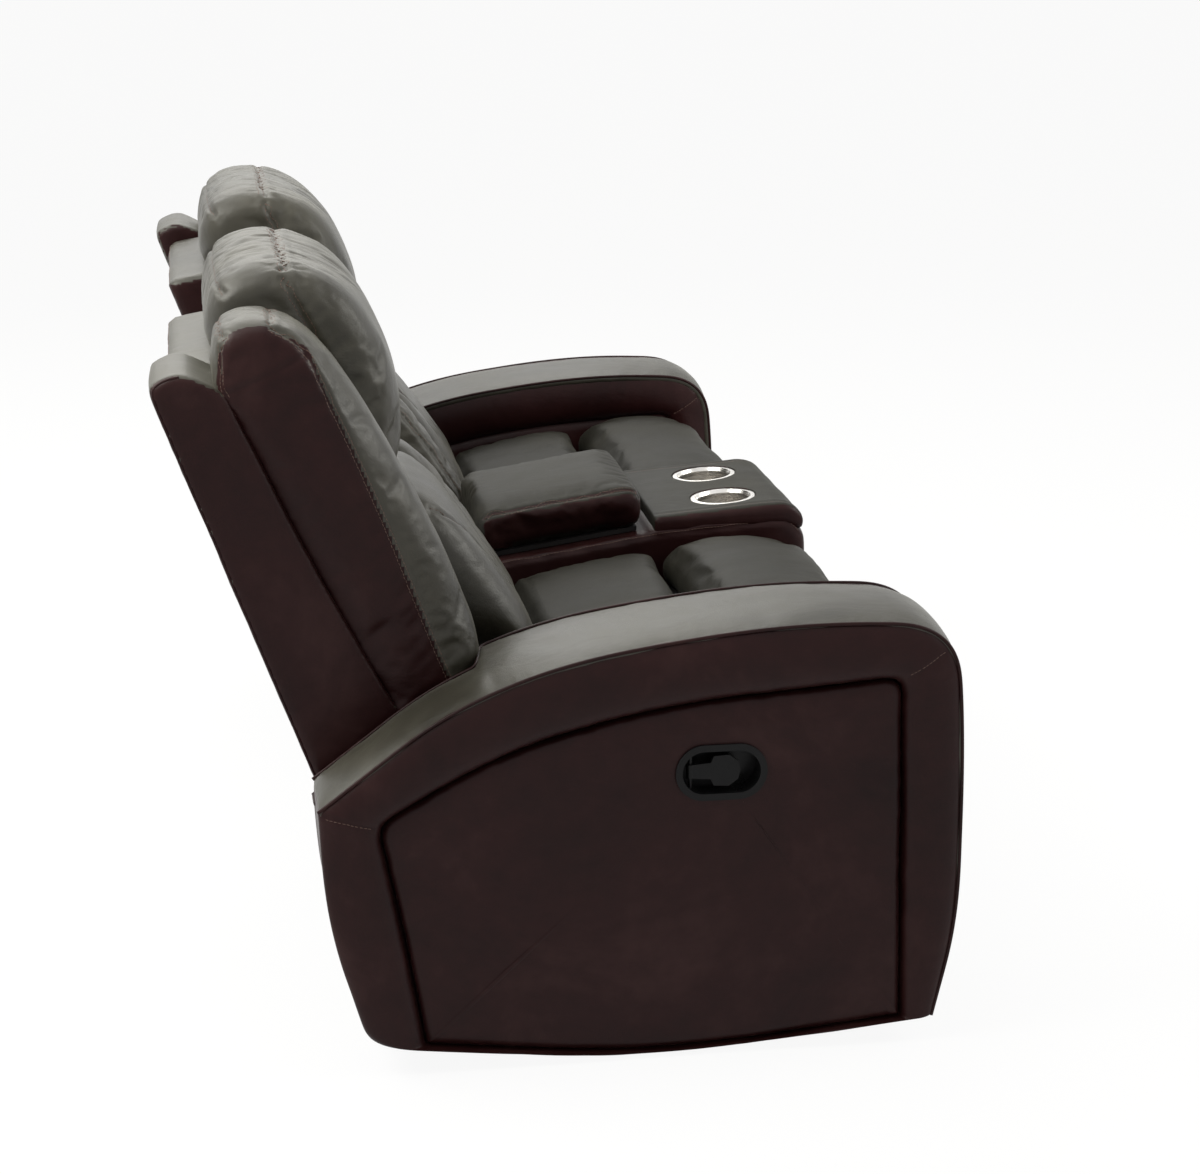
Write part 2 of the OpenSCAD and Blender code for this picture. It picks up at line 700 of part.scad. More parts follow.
board_y = front_y + 75;
board_z0 = 94;
board_z1 = thigh_bottom - 9;
module footrest_board() {
    w = seat_x1 - seat_x0 - 2;
    color(timber) {
        translate([seat_x0 + 1, board_y - board_t, board_z0]) cube([w, board_t, board_z1 - board_z0]);
        in_plane(5) union() {
            bar(board_pivot, board_stud, link_r);
            polygon([board_pivot + [2, 0.7 * link_r], [board_y - 1, board_pivot[1] + 30],
                [board_y - 1, board_stud[1] - 40], board_stud + [2, -0.7 * link_r]]);
        }
        for (u = [-1, 1]) {
            rod(plane_x(u > 0 ? 5 : 3, u), board_pivot[0], board_pivot[1], rivet_r, 2 * pitch + link_t);
            rod(plane_x(u > 0 ? 5 : 4, u), board_stud[0], board_stud[1], rivet_r, pitch + link_t);
        }
    }
}

module footrest_pad() {
    y = board_y - board_t - fit;
    color(leather)
        cushion([
            [y - 42, board_z0 - 4, 24], [y, board_z0 - 4, 8], [y, board_z1 + 2, 8], [y - 40, board_z1 + 3, 26],
            [y - 50, 262, 90]], seat_x0 + 1, seat_x1 - 1, 14, 4, 2);
}

// Thickness of the back frame, and the place of its front face at a height
back_frame_t = 22;
function lean(z) =
    let (top = frame_line(back_frame_t + 2 * fit)[0], low = frame_line(back_frame_t + 2 * fit)[1])
    [low[0] + (top[0] - low[0]) * (z - low[1]) / (top[1] - low[1]), z];

// Backs: a shell behind a steel frame, a wing over the arm, two bolsters, a head and a lumbar cushion
function shell_front() = [[rear_y - 240, pivot_z + 255, 120], [rear_y - 68, back_h - 136, 10]];
module back_shell() {
    front = shell_front();
    main = soft([
        [rear_y - 283, pivot_z, 6], [rear_y - 257, pivot_z, 8], [rear_y - 212, 345, 120],
        [rear_y - 18, back_h - 146, 14], front[1], front[0]], 4);
    skirt = soft([
        [rear_y - 283, pivot_z, 6], [rear_y - 257, pivot_z, 8], [rear_y - 217, 318, 8],
        [rear_y - 262, 318, 8]], 3);
    color(leather) {
        yz(back_x0, wing_x0 + wing_in - fit - back_x0) polygon(main);
        yz(wing_x0 - 12, in_x - back_gap - wing_x0 + 12) polygon(skirt);
    }
}

// Distance of the wing from the bolster's inner side
wing_in = 9;
function wing_seam(d) = [
    [rear_y - 95 - d, back_h - 140, 10], [rear_y - 185 - d, back_h - 341, 120],
    [rear_y - 283 - d, tail_z + 120, 60], [rear_y - 317 - d, tail_z + 63, 6]];
module back_wing() {
    outline = concat(
        [[rear_y - 200, tail_z - 29, 14], [rear_y + 5, back_h - 129, 16], [rear_y - 37, back_h - 110, 20]],
        wing_seam(0));
    color(leather) cushion(outline, wing_x0 + wing_in, wing_x1, 12, 0, 1);
}

module outer_bolster() {
    seam = wing_seam(fit + 0.6);
    outline = concat([
        [rear_y - 412, tail_z + 95, 18], [rear_y - 362, tail_z + 87, 24]], turn(seam),
        [[rear_y - 78, back_h - 62, 22], [rear_y - 140, back_h - 38, 40], [rear_y - 215, back_h - 78, 50],
        [rear_y - 282, back_h - 190, 60], [rear_y - 352, back_h - 328, 70], [rear_y - 424, tail_z + 153, 40]]);
    color(leather) cushion(outline, wing_x0 + 10, wing_x1 - 1, 26, 4, 3);
}

function frame_line(d) = [
    [rear_y - 72 - d, back_h - 146], [rear_y - 240 - d, pivot_z + 255], [rear_y - 290 - d, pivot_z + 65]];
module back_frame() {
    t = back_frame_t;
    far = frame_line(fit);
    near = frame_line(fit + t);
    band = concat(far, turn(near));
    color(steel)
        difference() {
            union() {
                yz(back_x0 + 6, 25) polygon(band);
                yz(wing_x0 - 31, 25) polygon(band);
                yz(back_x0 + 6, wing_x0 - back_x0 - 12) intersection() {
                    polygon(band);
                    for (k = [0, 0.3, 0.62, 0.93])
                        translate([rear_y - 400, far[1][1] + k * (far[0][1] - far[1][1])]) square([400, 40]);
                }
                translate([plane_x(1, -1) + 1, rear_y - 312, pivot_z + 61])
                    cube([plane_x(1, 1) + link_t - plane_x(1, -1) - 2, t, 44]);
                in_plane(1) difference() {
                    union() {
                        bar([pivot_y, pivot_z], [rear_y - 301, pivot_z + 83], 20);
                    }
                    hole([pivot_y, pivot_z], rivet_r + run);
                }
            }
        }
}

module head_cushion() {
    outline = [
        [rear_y - 339, waist_z + 4, 26], [each lean(waist_z + 12), 16], [each lean(back_h - 144), 14],
        [rear_y - 65, back_h - 86, 30], [rear_y - 83, back_h - 12, 40], [rear_y - 187, back_h + 8.5, 60],
        [rear_y - 275, back_h - 41, 55], [rear_y - 327, back_h - 154, 60], [rear_y - 335, back_h - 246, 50]];
    color(leather_light) cushion(outline, back_x0 + 8, wing_x0 + 8, 34, 4, 4);
}

module lumbar_cushion() {
    x0 = back_x0 + inner_w;
    outline = [
        [rear_y - 527, seat_h - 83, 18], [each lean(seat_h - 69), 16], [each lean(waist_z - 2), 12],
        [rear_y - 357, waist_z + 1, 24], [rear_y - 411, waist_z - 48, 40], [rear_y - 475, seat_h + 33, 60],
        [rear_y - 515, seat_h - 27, 40]];
    color(leather_light) cushion(outline, x0 + 1, wing_x0 + 8, 20, 6, 3);
}

module inner_bolster() {
    outline = [
        [rear_y - 515, seat_h - 81, 16], [each lean(seat_h - 67), 16], [each lean(waist_z - 2), 12],
        [rear_y - 345, waist_z, 24], [rear_y - 397, waist_z - 40, 40], [rear_y - 463, seat_h + 43, 60],
        [rear_y - 501, seat_h - 17, 40]];
    color(leather) cushion(outline, back_x0, back_x0 + inner_w, 18, 3, 2);
}

// Base
module base_tubes() {
    color(steel)
        for (y = [front_y + 335, rear_y - 350])
            translate([-in_x, y, base_top - tube_s]) cube([2 * in_x, tube_s, tube_s]);
}

module feet() {
    color(plastic)
        for (s = [-1, 1]) for (y = post_y)
            translate([s * (in_x + arm_wall + arm_board_t + post_w / 2 - 2), y + post_l / 2, 0]) rotate_extrude($fn = 40)
                polygon([[0, 0], [foot_r - 2, 0], [foot_r, 2], [foot_r - 4, foot_h - fit], [0, foot_h - fit]]);
}

module rear_panel() {
    color(leather)
        translate([-in_x + fit, rear_y - 307, base_top - 20]) cube([2 * in_x - 2 * fit, 14, 95]);
}

module dust_cover() {
    color(plastic)
        translate([-in_x + fit, front_y + 95, 38 - fit]) cube([2 * in_x - 2 * fit, depth - 415, 2]);
}

module paired(s, name) {
    if (name == "arm_shell") half(s) arm_shell();
    if (name == "arm_frame") half(s) arm_frame();
    if (name == "arm_side_panel") half(s) arm_side_panel();
    if (name == "arm_top_pad") half(s) arm_top_pad();
    if (name == "handle_bezel") half(s) handle_bezel();
    if (name == "handle_paddle") half(s) handle_paddle();
    if (name == "seat_frame") half(s) seat_frame();
    if (name == "seat_springs") half(s) seat_springs();
    if (name == "seat_cushion") half(s) seat_cushion();
    if (name == "thigh_pad") half(s) thigh_pad();
    if (name == "mechanism_plates") half(s) mechanism_plates();
    if (name == "lower_links") half(s) lower_links();
    if (name == "upper_links") half(s) upper_links();
    if (name == "lower_control_links") half(s) lower_control_links();
    if (name == "board_control_links") half(s) board_control_links();
    if (name == "footrest_board") half(s) footrest_board();
    if (name == "footrest_pad") half(s) footrest_pad();
    if (name == "back_frame") half(s) back_frame();
    if (name == "back_shell") half(s) back_shell();
    if (name == "back_wing") half(s) back_wing();
    if (name == "outer_bolster") half(s) outer_bolster();
    if (name == "inner_bolster") half(s) inner_bolster();
    if (name == "head_cushion") half(s) head_cushion();
    if (name == "lumbar_cushion") half(s) lumbar_cushion();
}

for (s = SIDES) for (p = PAIRED)
    paired(s[1], p);
console_case();
console_deck();
console_liner();
cup_holder(-1);  // right_cup_holder
cup_holder(1);  // left_cup_holder
console_lid();
lid_board();
base_tubes();
feet();
rear_panel();
dust_cover();
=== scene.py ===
# %% [markdown]
# A reclining loveseat for two, in dark brown leather, with a console between the seats.
# The hard parts (plates, links, frames, feet, handles, cup holders) come from the packed
# model and only get their finishes here. Everything soft is modelled again below: leather
# over foam has crowns, seams, gathers and stitching that a plain solid can't show.
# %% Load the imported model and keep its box
import math
from contextlib import contextmanager
import bmesh
import bpy
import numpy as np
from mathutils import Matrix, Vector, kdtree, noise
from mathutils.bvhtree import BVHTree


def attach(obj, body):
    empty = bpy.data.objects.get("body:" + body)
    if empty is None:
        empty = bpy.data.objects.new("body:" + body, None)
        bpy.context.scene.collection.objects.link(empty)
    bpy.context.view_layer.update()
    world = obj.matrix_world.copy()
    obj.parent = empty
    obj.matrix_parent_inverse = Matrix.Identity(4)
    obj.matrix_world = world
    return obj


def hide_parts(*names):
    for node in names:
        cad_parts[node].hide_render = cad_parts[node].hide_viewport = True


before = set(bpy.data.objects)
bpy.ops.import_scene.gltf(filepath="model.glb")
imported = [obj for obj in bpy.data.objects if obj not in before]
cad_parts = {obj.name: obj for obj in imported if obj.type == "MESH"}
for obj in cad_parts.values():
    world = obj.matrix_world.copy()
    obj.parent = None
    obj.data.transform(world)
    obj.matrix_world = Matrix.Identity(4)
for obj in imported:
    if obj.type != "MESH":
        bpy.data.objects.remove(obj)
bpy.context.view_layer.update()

bpy.ops.object.select_all(action="DESELECT")

# %% [markdown]
# The photograph looks at the near arm from a little behind and above, with a long lens.
# A camera could be set by eye, but the place below was found by laying known edges of the
# piece (cup holders, arm, seats) over the picture, so it is written down as numbers.
# %% Camera
SEEN_FROM = Vector((-4.1464, 0.4578, 1.5236))
LOOKS_ALONG = Vector((0.9537, -0.1461, -0.2629))
lens = bpy.data.cameras.new("camera")
lens.sensor_width = 36
lens.sensor_fit = "HORIZONTAL"
lens.lens = 80.05
camera = bpy.data.objects.new("camera", lens)
camera.location = SEEN_FROM
camera.rotation_euler = LOOKS_ALONG.to_track_quat("-Z", "Y").to_euler()
bpy.context.scene.collection.objects.link(camera)
bpy.context.scene.camera = camera
print("lens of", round(lens.lens, 1), "mm")

# %% [markdown]
# Dark leather shows its form by what it mirrors: large pale surfaces above, behind and in
# front give each upward face a broad sheen, and the sides stay dark. Four large soft lamps
# and a dim room give part of that; the rest of the sheen, and the shade over the seats, is
# painted into copies of the leather. The white behind the object is what the camera sees
# of the world and the floor, and no extra light falls on the leather for it.
# %% Nodes and lamps
WHITE = (1, 1, 1, 1)


def node(tree, kind, inputs, **settings):
    """A new node. An output given as an input is linked to it, anything else is its value."""
    made = tree.nodes.new("ShaderNode" + kind)
    for key, value in settings.items():
        setattr(made, key, value)
    for key, value in inputs.items():
        if isinstance(value, bpy.types.NodeSocket):
            tree.links.new(value, made.inputs[key])
        else:
            made.inputs[key].default_value = value
    return made


def seen_white(tree, plain, white, share=1.0):
    """Plain for the light that falls on things, a share of white where it is seen or mirrored."""
    ray = node(tree, "LightPath", {}).outputs
    also = node(tree, "Math", {0: ray["Is Glossy Ray"], 1: ray["Is Transmission Ray"]},
        operation="MAXIMUM").outputs[0]
    seen = node(tree, "Math", {0: ray["Is Camera Ray"], 1: also}, operation="MAXIMUM").outputs[0]
    part = node(tree, "Math", {0: seen, 1: share}, operation="MULTIPLY").outputs[0]
    return node(tree, "MixShader", {0: part, 1: plain.outputs[0], 2: white.outputs[0]}).outputs[0]


def emptied(owner):
    owner.use_nodes = True
    owner.node_tree.nodes.clear()
    return owner.node_tree


LAMPS = {  # place, aim, size in metres, watts, tint
    "ceiling_light": ((0.0, 0.9, 3.3), (0.0, 0.1, 0.4), (3.6, 2.6), 46, (1.0, 0.99, 0.94)),
    "rear_light": ((-0.5, 2.1, 2.5), (0.0, 0.35, 0.9), (2.8, 1.2), 84, (1.0, 0.99, 0.92)),
    "far_light": ((3.4, 0.5, 3.2), (0.0, 0.2, 0.7), (3.2, 2.4), 62, (1.0, 0.99, 0.93)),
    "front_light": ((-0.6, -3.4, 2.6), (0.0, 0.2, 0.7), (2.4, 1.6), 72, (1.0, 0.99, 0.93))}
for name, (place, aim, size, power, tint) in LAMPS.items():
    light = bpy.data.lights.new(name, "AREA")
    light.shape = "RECTANGLE"
    light.size, light.size_y = size
    light.energy = power
    light.color = tint
    source = bpy.data.objects.new(name, light)
    source.location = place
    source.rotation_euler = (Vector(aim) - Vector(place)).to_track_quat("-Z", "Y").to_euler()
    bpy.context.scene.collection.objects.link(source)
print("lamps:", len(LAMPS))

# %% [markdown]
# The floor is pale paper, so the object's shadow stays on it. Most of what the camera sees
# of it is plain white, as on a studio's sweep.
# %% World and floor
ROOM_STRENGTH, FLOOR_SIZE, FLOOR_WHITE = 0.45, 80, 0.92
world = bpy.data.worlds.new("studio")
bpy.context.scene.world = world
tree = emptied(world)
dim = node(tree, "Background", {"Color": (1.0, 0.98, 0.95, 1), "Strength": ROOM_STRENGTH})
bright = node(tree, "Background", {"Color": WHITE, "Strength": 1.0})
node(tree, "OutputWorld", {"Surface": seen_white(tree, dim, bright)})

bpy.ops.mesh.primitive_plane_add(size=FLOOR_SIZE, location=(0, 0, -0.0005))
floor = bpy.context.object
floor.name = "floor"
pale = bpy.data.materials.new("floor_white")
tree = emptied(pale)
paper = node(tree, "BsdfDiffuse", {"Color": (0.86, 0.86, 0.86, 1)})
glow = node(tree, "Emission", {"Color": WHITE, "Strength": 1.0})
node(tree, "OutputMaterial", {"Surface": seen_white(tree, paper, glow, FLOOR_WHITE)})
floor.data.materials.append(pale)
bpy.context.scene.view_settings.view_transform = "Standard"
print("floor of", FLOOR_SIZE, "m")

# %% [markdown]
# Leather is the main finish. A flat brown would look like plastic. Real upholstery leather
# has pores about a millimetre across, a slow change of tone where it is stretched, fine
# creases, and a finish that is duller in some places than in others. All of it is made of
# noise in Object coordinates, so it needs no unwrapping and sits still on each piece.
# The leather comes in three copies: the plain dark brown, a lighter grey-green copy whose
# colour is a painted sheen for faces turned up or forward, and a dimmer grey-green copy
# for the seats, deck and lid, whose painted sheen is darkened as painted shade.
# %% Leather
def shader(name, colour, roughness, metallic=0.0, specular=0.5, sheen=0.0):
    finish = bpy.data.materials.new(name)
    finish.use_nodes = True
    surface = finish.node_tree.nodes["Principled BSDF"]
    for key, value in {
            "Base Color": (*colour, 1), "Roughness": roughness, "Metallic": metallic,
            "Specular IOR Level": specular, "Sheen Weight": sheen, "Sheen Roughness": 0.24,
            "Sheen Tint": (1.0, 0.99, 0.85, 1)}.items():
        surface.inputs[key].default_value = value
    return finish, finish.node_tree, surface


def place_in(tree, scale=(1, 1, 1), move=(0, 0, 0)):
    at = node(tree, "TexCoord", {}).outputs["Object"]
    return node(
        tree, "Mapping", {"Vector": at, "Scale": scale, "Location": move}).outputs["Vector"]


def noise_in(tree, where, scale, detail=4.0, roughness=0.55, distortion=0.0):
    return node(tree, "TexNoise", {"Vector": where, "Scale": scale, "Detail": detail,
        "Roughness": roughness, "Distortion": distortion}).outputs["Fac"]


def spread(tree, value, low, high, to_low, to_high):
    return node(tree, "MapRange", {"Value": value, "From Min": low, "From Max": high,
        "To Min": to_low, "To Max": to_high}).outputs["Result"]


def tones(tree, value, *stops):
    """Colours along a value, each stop given as (place, colour)."""
    ramp = node(tree, "ValToRGB", {"Fac": value})
    first, last = ramp.color_ramp.elements[0], ramp.color_ramp.elements[-1]
    first.position, first.color = stops[0][0], (*stops[0][1], 1)
    last.position, last.color = stops[-1][0], (*stops[-1][1], 1)
    for place, colour in stops[1:-1]:
        ramp.color_ramp.elements.new(place).color = (*colour, 1)
    return ramp.outputs["Color"]


def finished(made, colour, roughness, *bumps):
    """Plugs in colour and roughness, and bumps given as (height, strength, metres)."""
    finish, tree, surface = made
    for key, value in (("Base Color", colour), ("Roughness", roughness)):
        if value is not None:
            tree.links.new(value, surface.inputs[key])
    below = {}
    for height, strength, distance in bumps:
        bump = node(
            tree, "Bump", {"Height": height, "Strength": strength, "Distance": distance, **below})
        below = {"Normal": bump.outputs["Normal"]}
    tree.links.new(below["Normal"], surface.inputs["Normal"])
    return finish


def leather_finish(name, deep, plain, worn, dull, specular, sheen):
    made = shader(name, plain, 0.42, 0.0, specular, sheen)
    tree = made[1]
    at = place_in(tree)
    cloud = noise_in(tree, at, 3.2, 5.0, 0.6, 0.6)
    fine = noise_in(tree, at, 34.0, 3.0, 0.5)
    mixed = node(tree, "Math", {0: fine, 1: 0.22, 2: cloud}, operation="MULTIPLY_ADD").outputs[0]
    pores = node(tree, "TexVoronoi", {"Vector": at, "Scale": 620.0}, feature="DISTANCE_TO_EDGE")
    cells = spread(tree, pores.outputs["Distance"], 0.0, 0.22, 0.0, 1.0)
    soft_grain = noise_in(tree, at, 95.0, 4.0, 0.6)
    crease = noise_in(tree, place_in(tree, (1.0, 0.45, 1.0)), 21.0, 5.0, 0.62, 1.4)
    return finished(
        made, tones(tree, mixed, (0.38, deep), (0.62, plain), (0.86, worn)),
        spread(tree, mixed, 0.35, 0.85, *dull),
        (crease, 0.35, 0.0022), (soft_grain, 0.22, 0.0010), (cells, 0.25, 0.00022))


SIDE_LEATHER = leather_finish(
    "brown_leather", (0.0105, 0.0032, 0.0032), (0.0185, 0.0056, 0.0056),
    (0.0330, 0.0135, 0.0130), (0.27, 0.42), 0.13, 0.02)
# A lighter grey-green copy of the leather: its colour is a painted sheen.
SHEEN_PAINTED_LEATHER = leather_finish(
    "brown_leather_painted_sheen", (0.0190, 0.0172, 0.0124), (0.0345, 0.0318, 0.0232),
    (0.0620, 0.0580, 0.0440), (0.33, 0.48), 0.34, 0.10)
# A dimmer grey-green copy: a painted sheen, darkened as painted shade for the seats.
SHADED_SHEEN_LEATHER = leather_finish(
    "brown_leather_painted_sheen_in_shade", (0.0085, 0.0080, 0.0058), (0.0150, 0.0140, 0.0105),
    (0.0270, 0.0255, 0.0195), (0.47, 0.62), 0.11, 0.03)
print("leathers:", SIDE_LEATHER.name, SHEEN_PAINTED_LEATHER.name, SHADED_SHEEN_LEATHER.name)

# %% [markdown]
# Thread, moulded plastic, plywood, lacquered and bare steel, and the black cloth below the
# seat. Each gets the mark of how it is made: twist in the thread, a fine sparkle in the
# moulding, growth rings in the wood, rolling streaks in steel and circular brushing in the
# cup holders.
# %% The other finishes
def times(colour, share):
    return tuple(min(1, share * c) for c in colour)


def thread_finish():
    made = shader("thread", (0.105, 0.062, 0.048), 0.6, 0.0, 0.3)
    fuzz = noise_in(made[1], place_in(made[1]), 900.0, 2.0)
    tint = tones(made[1], fuzz, (0.3, (0.060, 0.034, 0.027)), (0.7, (0.150, 0.092, 0.072)))
    return finished(made, tint, None, (fuzz, 0.5, 0.0003))


def plastic_finish(name, colour, roughness):
    made = shader(name, colour, roughness, 0.0, 0.16)
    tree = made[1]
    at = place_in(tree)
    smear = noise_in(tree, at, 22.0, 4.0, 0.6)
    return finished(
        made, tones(tree, smear, (0.3, times(colour, 0.8)), (0.7, times(colour, 1.25))),
        spread(tree, smear, 0.3, 0.7, roughness - 0.07, roughness + 0.1),
        (noise_in(tree, at, 1400.0, 2.0), 0.25, 0.0002))


def wood_finish():
    made = shader("plywood", (0.42, 0.27, 0.15), 0.62, 0.0, 0.3)
    tree = made[1]
    rings = node(
        tree, "TexWave", {"Vector": place_in(tree, (0.25, 1.0, 1.0)), "Scale": 14.0,
        "Distortion": 7.0, "Detail": 4.0, "Detail Scale": 1.6},
        wave_type="BANDS", bands_direction="Y").outputs["Fac"]
    fibre = noise_in(tree, place_in(tree, (6.0, 160.0, 160.0)), 2.0, 5.0)
    tint = tones(
        tree, rings, (0.0, (0.33, 0.20, 0.105)), (0.55, (0.47, 0.31, 0.18)),
        (1.0, (0.56, 0.39, 0.24)))
    return finished(made, tint, None, (fibre, 0.3, 0.0004))


def steel_finish(name, colour, roughness, metallic, streaks):
    made = shader(name, colour, roughness, metallic)
    tree = made[1]
    drawn = noise_in(tree, place_in(tree, streaks), 3.0, 6.0, 0.65)
    spots = noise_in(tree, place_in(tree), 9.0, 5.0, 0.6)
    return finished(
        made, tones(tree, spots, (0.35, times(colour, 0.78)), (0.7, times(colour, 1.1))),
        spread(tree, drawn, 0.3, 0.7, roughness - 0.08, roughness + 0.12), (drawn, 0.2, 0.0003))


def cup_finish(name, centre):
    """Brushed steel: streaks that run round the cup's own axis."""
    made = shader(name, (0.70, 0.68, 0.65), 0.24, 1.0)
    tree = made[1]
    parts = node(tree, "SeparateXYZ", {0: place_in(tree, move=[-c for c in centre])}).outputs
    flat = node(tree, "CombineXYZ", {"X": parts["X"], "Y": parts["Y"]}).outputs[0]
    length = node(tree, "VectorMath", {0: flat}, operation="LENGTH").outputs["Value"]
    around = node(tree, "CombineXYZ", {"X": length, "Y": parts["Z"]}).outputs[0]
    brushed = noise_in(tree, around, 900.0, 3.0)
    cloudy = noise_in(tree, place_in(tree), 30.0, 3.0)
    return finished(
        made, tones(tree, cloudy, (0.3, (0.62, 0.60, 0.57)), (0.7, (0.78, 0.76, 0.73))),
        spread(tree, brushed, 0.3, 0.7, 0.16, 0.32), (brushed, 0.25, 0.0002))


def cloth_finish():
    made = shader("dust_cloth", (0.012, 0.012, 0.013), 0.9, 0.0, 0.1)
    tree = made[1]
    warp = node(tree, "TexVoronoi", {"Vector": place_in(tree), "Scale": 420.0}).outputs["Distance"]
    felt = noise_in(tree, place_in(tree), 60.0, 6.0, 0.7)
    tint = tones(tree, felt, (0.3, (0.008, 0.008, 0.009)), (0.7, (0.022, 0.022, 0.024)))
    return finished(made, tint, None, (warp, 0.6, 0.0006))


THREAD = thread_finish()
BLACK_PLASTIC = plastic_finish("handle_plastic", (0.0035, 0.0035, 0.0038), 0.32)
BLACK_BOARD = plastic_finish("black_board", (0.010, 0.009, 0.009), 0.6)
LINER_PLASTIC = plastic_finish("liner_plastic", (0.012, 0.012, 0.012), 0.5)
FOOT_PLASTIC = plastic_finish("foot_plastic", (0.010, 0.010, 0.010), 0.55)
PLYWOOD = wood_finish()
LACQUERED = steel_finish("lacquered_steel", (0.020, 0.020, 0.022), 0.38, 0.0, (30, 4, 30))
BARE_STEEL = steel_finish("zinc_steel", (0.47, 0.46, 0.44), 0.36, 1.0, (30, 4, 30))
SPRING_WIRE = steel_finish("spring_wire", (0.30, 0.29, 0.28), 0.40, 1.0, (50, 8, 50))
DUST_CLOTH = cloth_finish()
print("finishes:", len(bpy.data.materials))

# %% [markdown]
# Every soft piece starts as an outline in the side view, Y to the rear and Z up, in
# millimetres. Corners are rounded by a cut length, as an upholsterer rounds a foam block.
# The same few functions round an outline, move it inwards and give it a fixed number of
# points, so that outlines of equal length can be joined into a skin.
# %% Outlines in the side view
DEPTH, BACK_H, ARM_H, TAIL_Z = 1038.0, 1016.0, 583.0, 365.0
FRONT, REAR = -510.0, 519.0
OUT_X, IN_X, CON_X = 965.0, 751.0, 171.0
TAIL_Y = REAR - 189


def unit(v, tiny=1e-9):
    return v / (np.linalg.norm(v, axis=-1, keepdims=True) + tiny)


def corner(a, b, c, cut, n):
    a, b, c = (np.array(p[:2], float) for p in (a, b, c))
    la, lc = np.linalg.norm(a - b), np.linalg.norm(c - b)
    p = b + (a - b) * min(cut, 0.48 * la) / la
    q = b + (c - b) * min(cut, 0.48 * lc) / lc
    t = np.linspace(0, 1, n + 1)[:, None]
    return list(p * (1 - t) ** 2 + b * 2 * t * (1 - t) + q * t * t)


def soft(points, n=8):
    """Closed outline of [y, z, cut] points with every corner rounded."""
    k = len(points)
    line = []
    for i, point in enumerate(points):
        if point[2] > 0:
            line += corner(points[i - 1], point, points[(i + 1) % k], point[2], n)
        else:
            line.append(np.array(point[:2], float))
    return np.array(line)


def soft_path(points, n=8):
    """Open path with its inner corners rounded."""
    line = [np.array(points[0][:2], float)]
    for i in range(1, len(points) - 1):
        line += corner(points[i - 1], points[i], points[i + 1], points[i][2], n)
    return np.array(line + [np.array(points[-1][:2], float)])


def shift(path, d):
    """Open path moved to its left."""
    path = np.asarray(path, float)
    run = unit(np.gradient(path, axis=0), 0)
    return path + np.stack([-run[:, 1], run[:, 0]], 1) * d


def narrow(points, d):
    """Closed outline of control points moved in by d, which a point's fourth number scales."""
    k, moved = len(points), []
    for i, point in enumerate(points):
        here = np.array(point[:2], float)
        share = point[3] if len(point) > 3 else 1.0
        a = here - np.array(points[i - 1][:2], float)
        b = np.array(points[(i + 1) % k][:2], float) - here
        a, b = a / np.linalg.norm(a), b / np.linalg.norm(b)
        na, nb = np.array([-a[1], a[0]]), np.array([-b[1], b[0]])
        moved.append([*(here + (na + nb) * share * d / max(0.4, 1 + na @ nb)), point[2]])
    return moved


def travelled(path):
    """The length of a path up to each of its points."""
    return np.concatenate([[0], np.cumsum(np.linalg.norm(np.diff(path, axis=0), axis=1))])


def even(path, count, closed=False):
    """The same line with count points at equal spacing."""
    path = np.asarray(path, float)
    if closed:
        path = np.vstack([path, path[:1]])
    steps = travelled(path)
    at = np.linspace(0, steps[-1], count + 1 if closed else count)
    line = np.stack([np.interp(at, steps, path[:, i]) for i in range(path.shape[1])], 1)
    return line[:-1] if closed else line


def between(path, start, end, count):
    """Part of a closed line, from the point nearest start to that nearest end."""
    path = even(path, 1200, True)
    i, j = (int(np.argmin(np.linalg.norm(path - np.array(p), axis=1))) for p in (start, end))
    rolled = np.vstack([path, path])[i:(j if j > i else j + len(path)) + 1]
    return even(rolled, count)


def ring(x, outline):
    outline = np.asarray(outline, float)
    x = np.broadcast_to(x, len(outline))
    return np.column_stack([x, outline]) / 1000.0


ARM_LINE = soft_path([
    [TAIL_Y, TAIL_Z], [TAIL_Y - 161, ARM_H - 96, 70], [TAIL_Y - 316, ARM_H - 34, 110],
    [FRONT + 245, ARM_H + 5, 150], [FRONT + 14, ARM_H - 5, 85], [FRONT, ARM_H - 163, 110],
    [FRONT, 170, 80], [FRONT + 31, 34]], 10)
print("arm's top and front line:", round(travelled(ARM_LINE)[-1]), "mm")

# %% [markdown]
# A skin over such outlines is made the way one would pull it up by hand: a circle is
# placed on the first outline, its edge is extruded once for each further outline, and the
# two open ends are filled. The extrusion keeps a number on every point, so each one knows
# which place of the next outline it moves to.
# %% A skin through rings
def deselect():
    if bpy.context.object and bpy.context.object.mode != "OBJECT":
        bpy.ops.object.mode_set(mode="OBJECT")
    bpy.ops.object.select_all(action="DESELECT")


def take(piece):
    deselect()
    piece.select_set(True)
    bpy.context.view_layer.objects.active = piece
    return piece


@contextmanager
def editing(piece, select="SELECT"):
    take(piece)
    bpy.ops.object.mode_set(mode="EDIT")
    bpy.ops.mesh.select_all(action=select)
    yield
    bpy.ops.object.mode_set(mode="OBJECT")


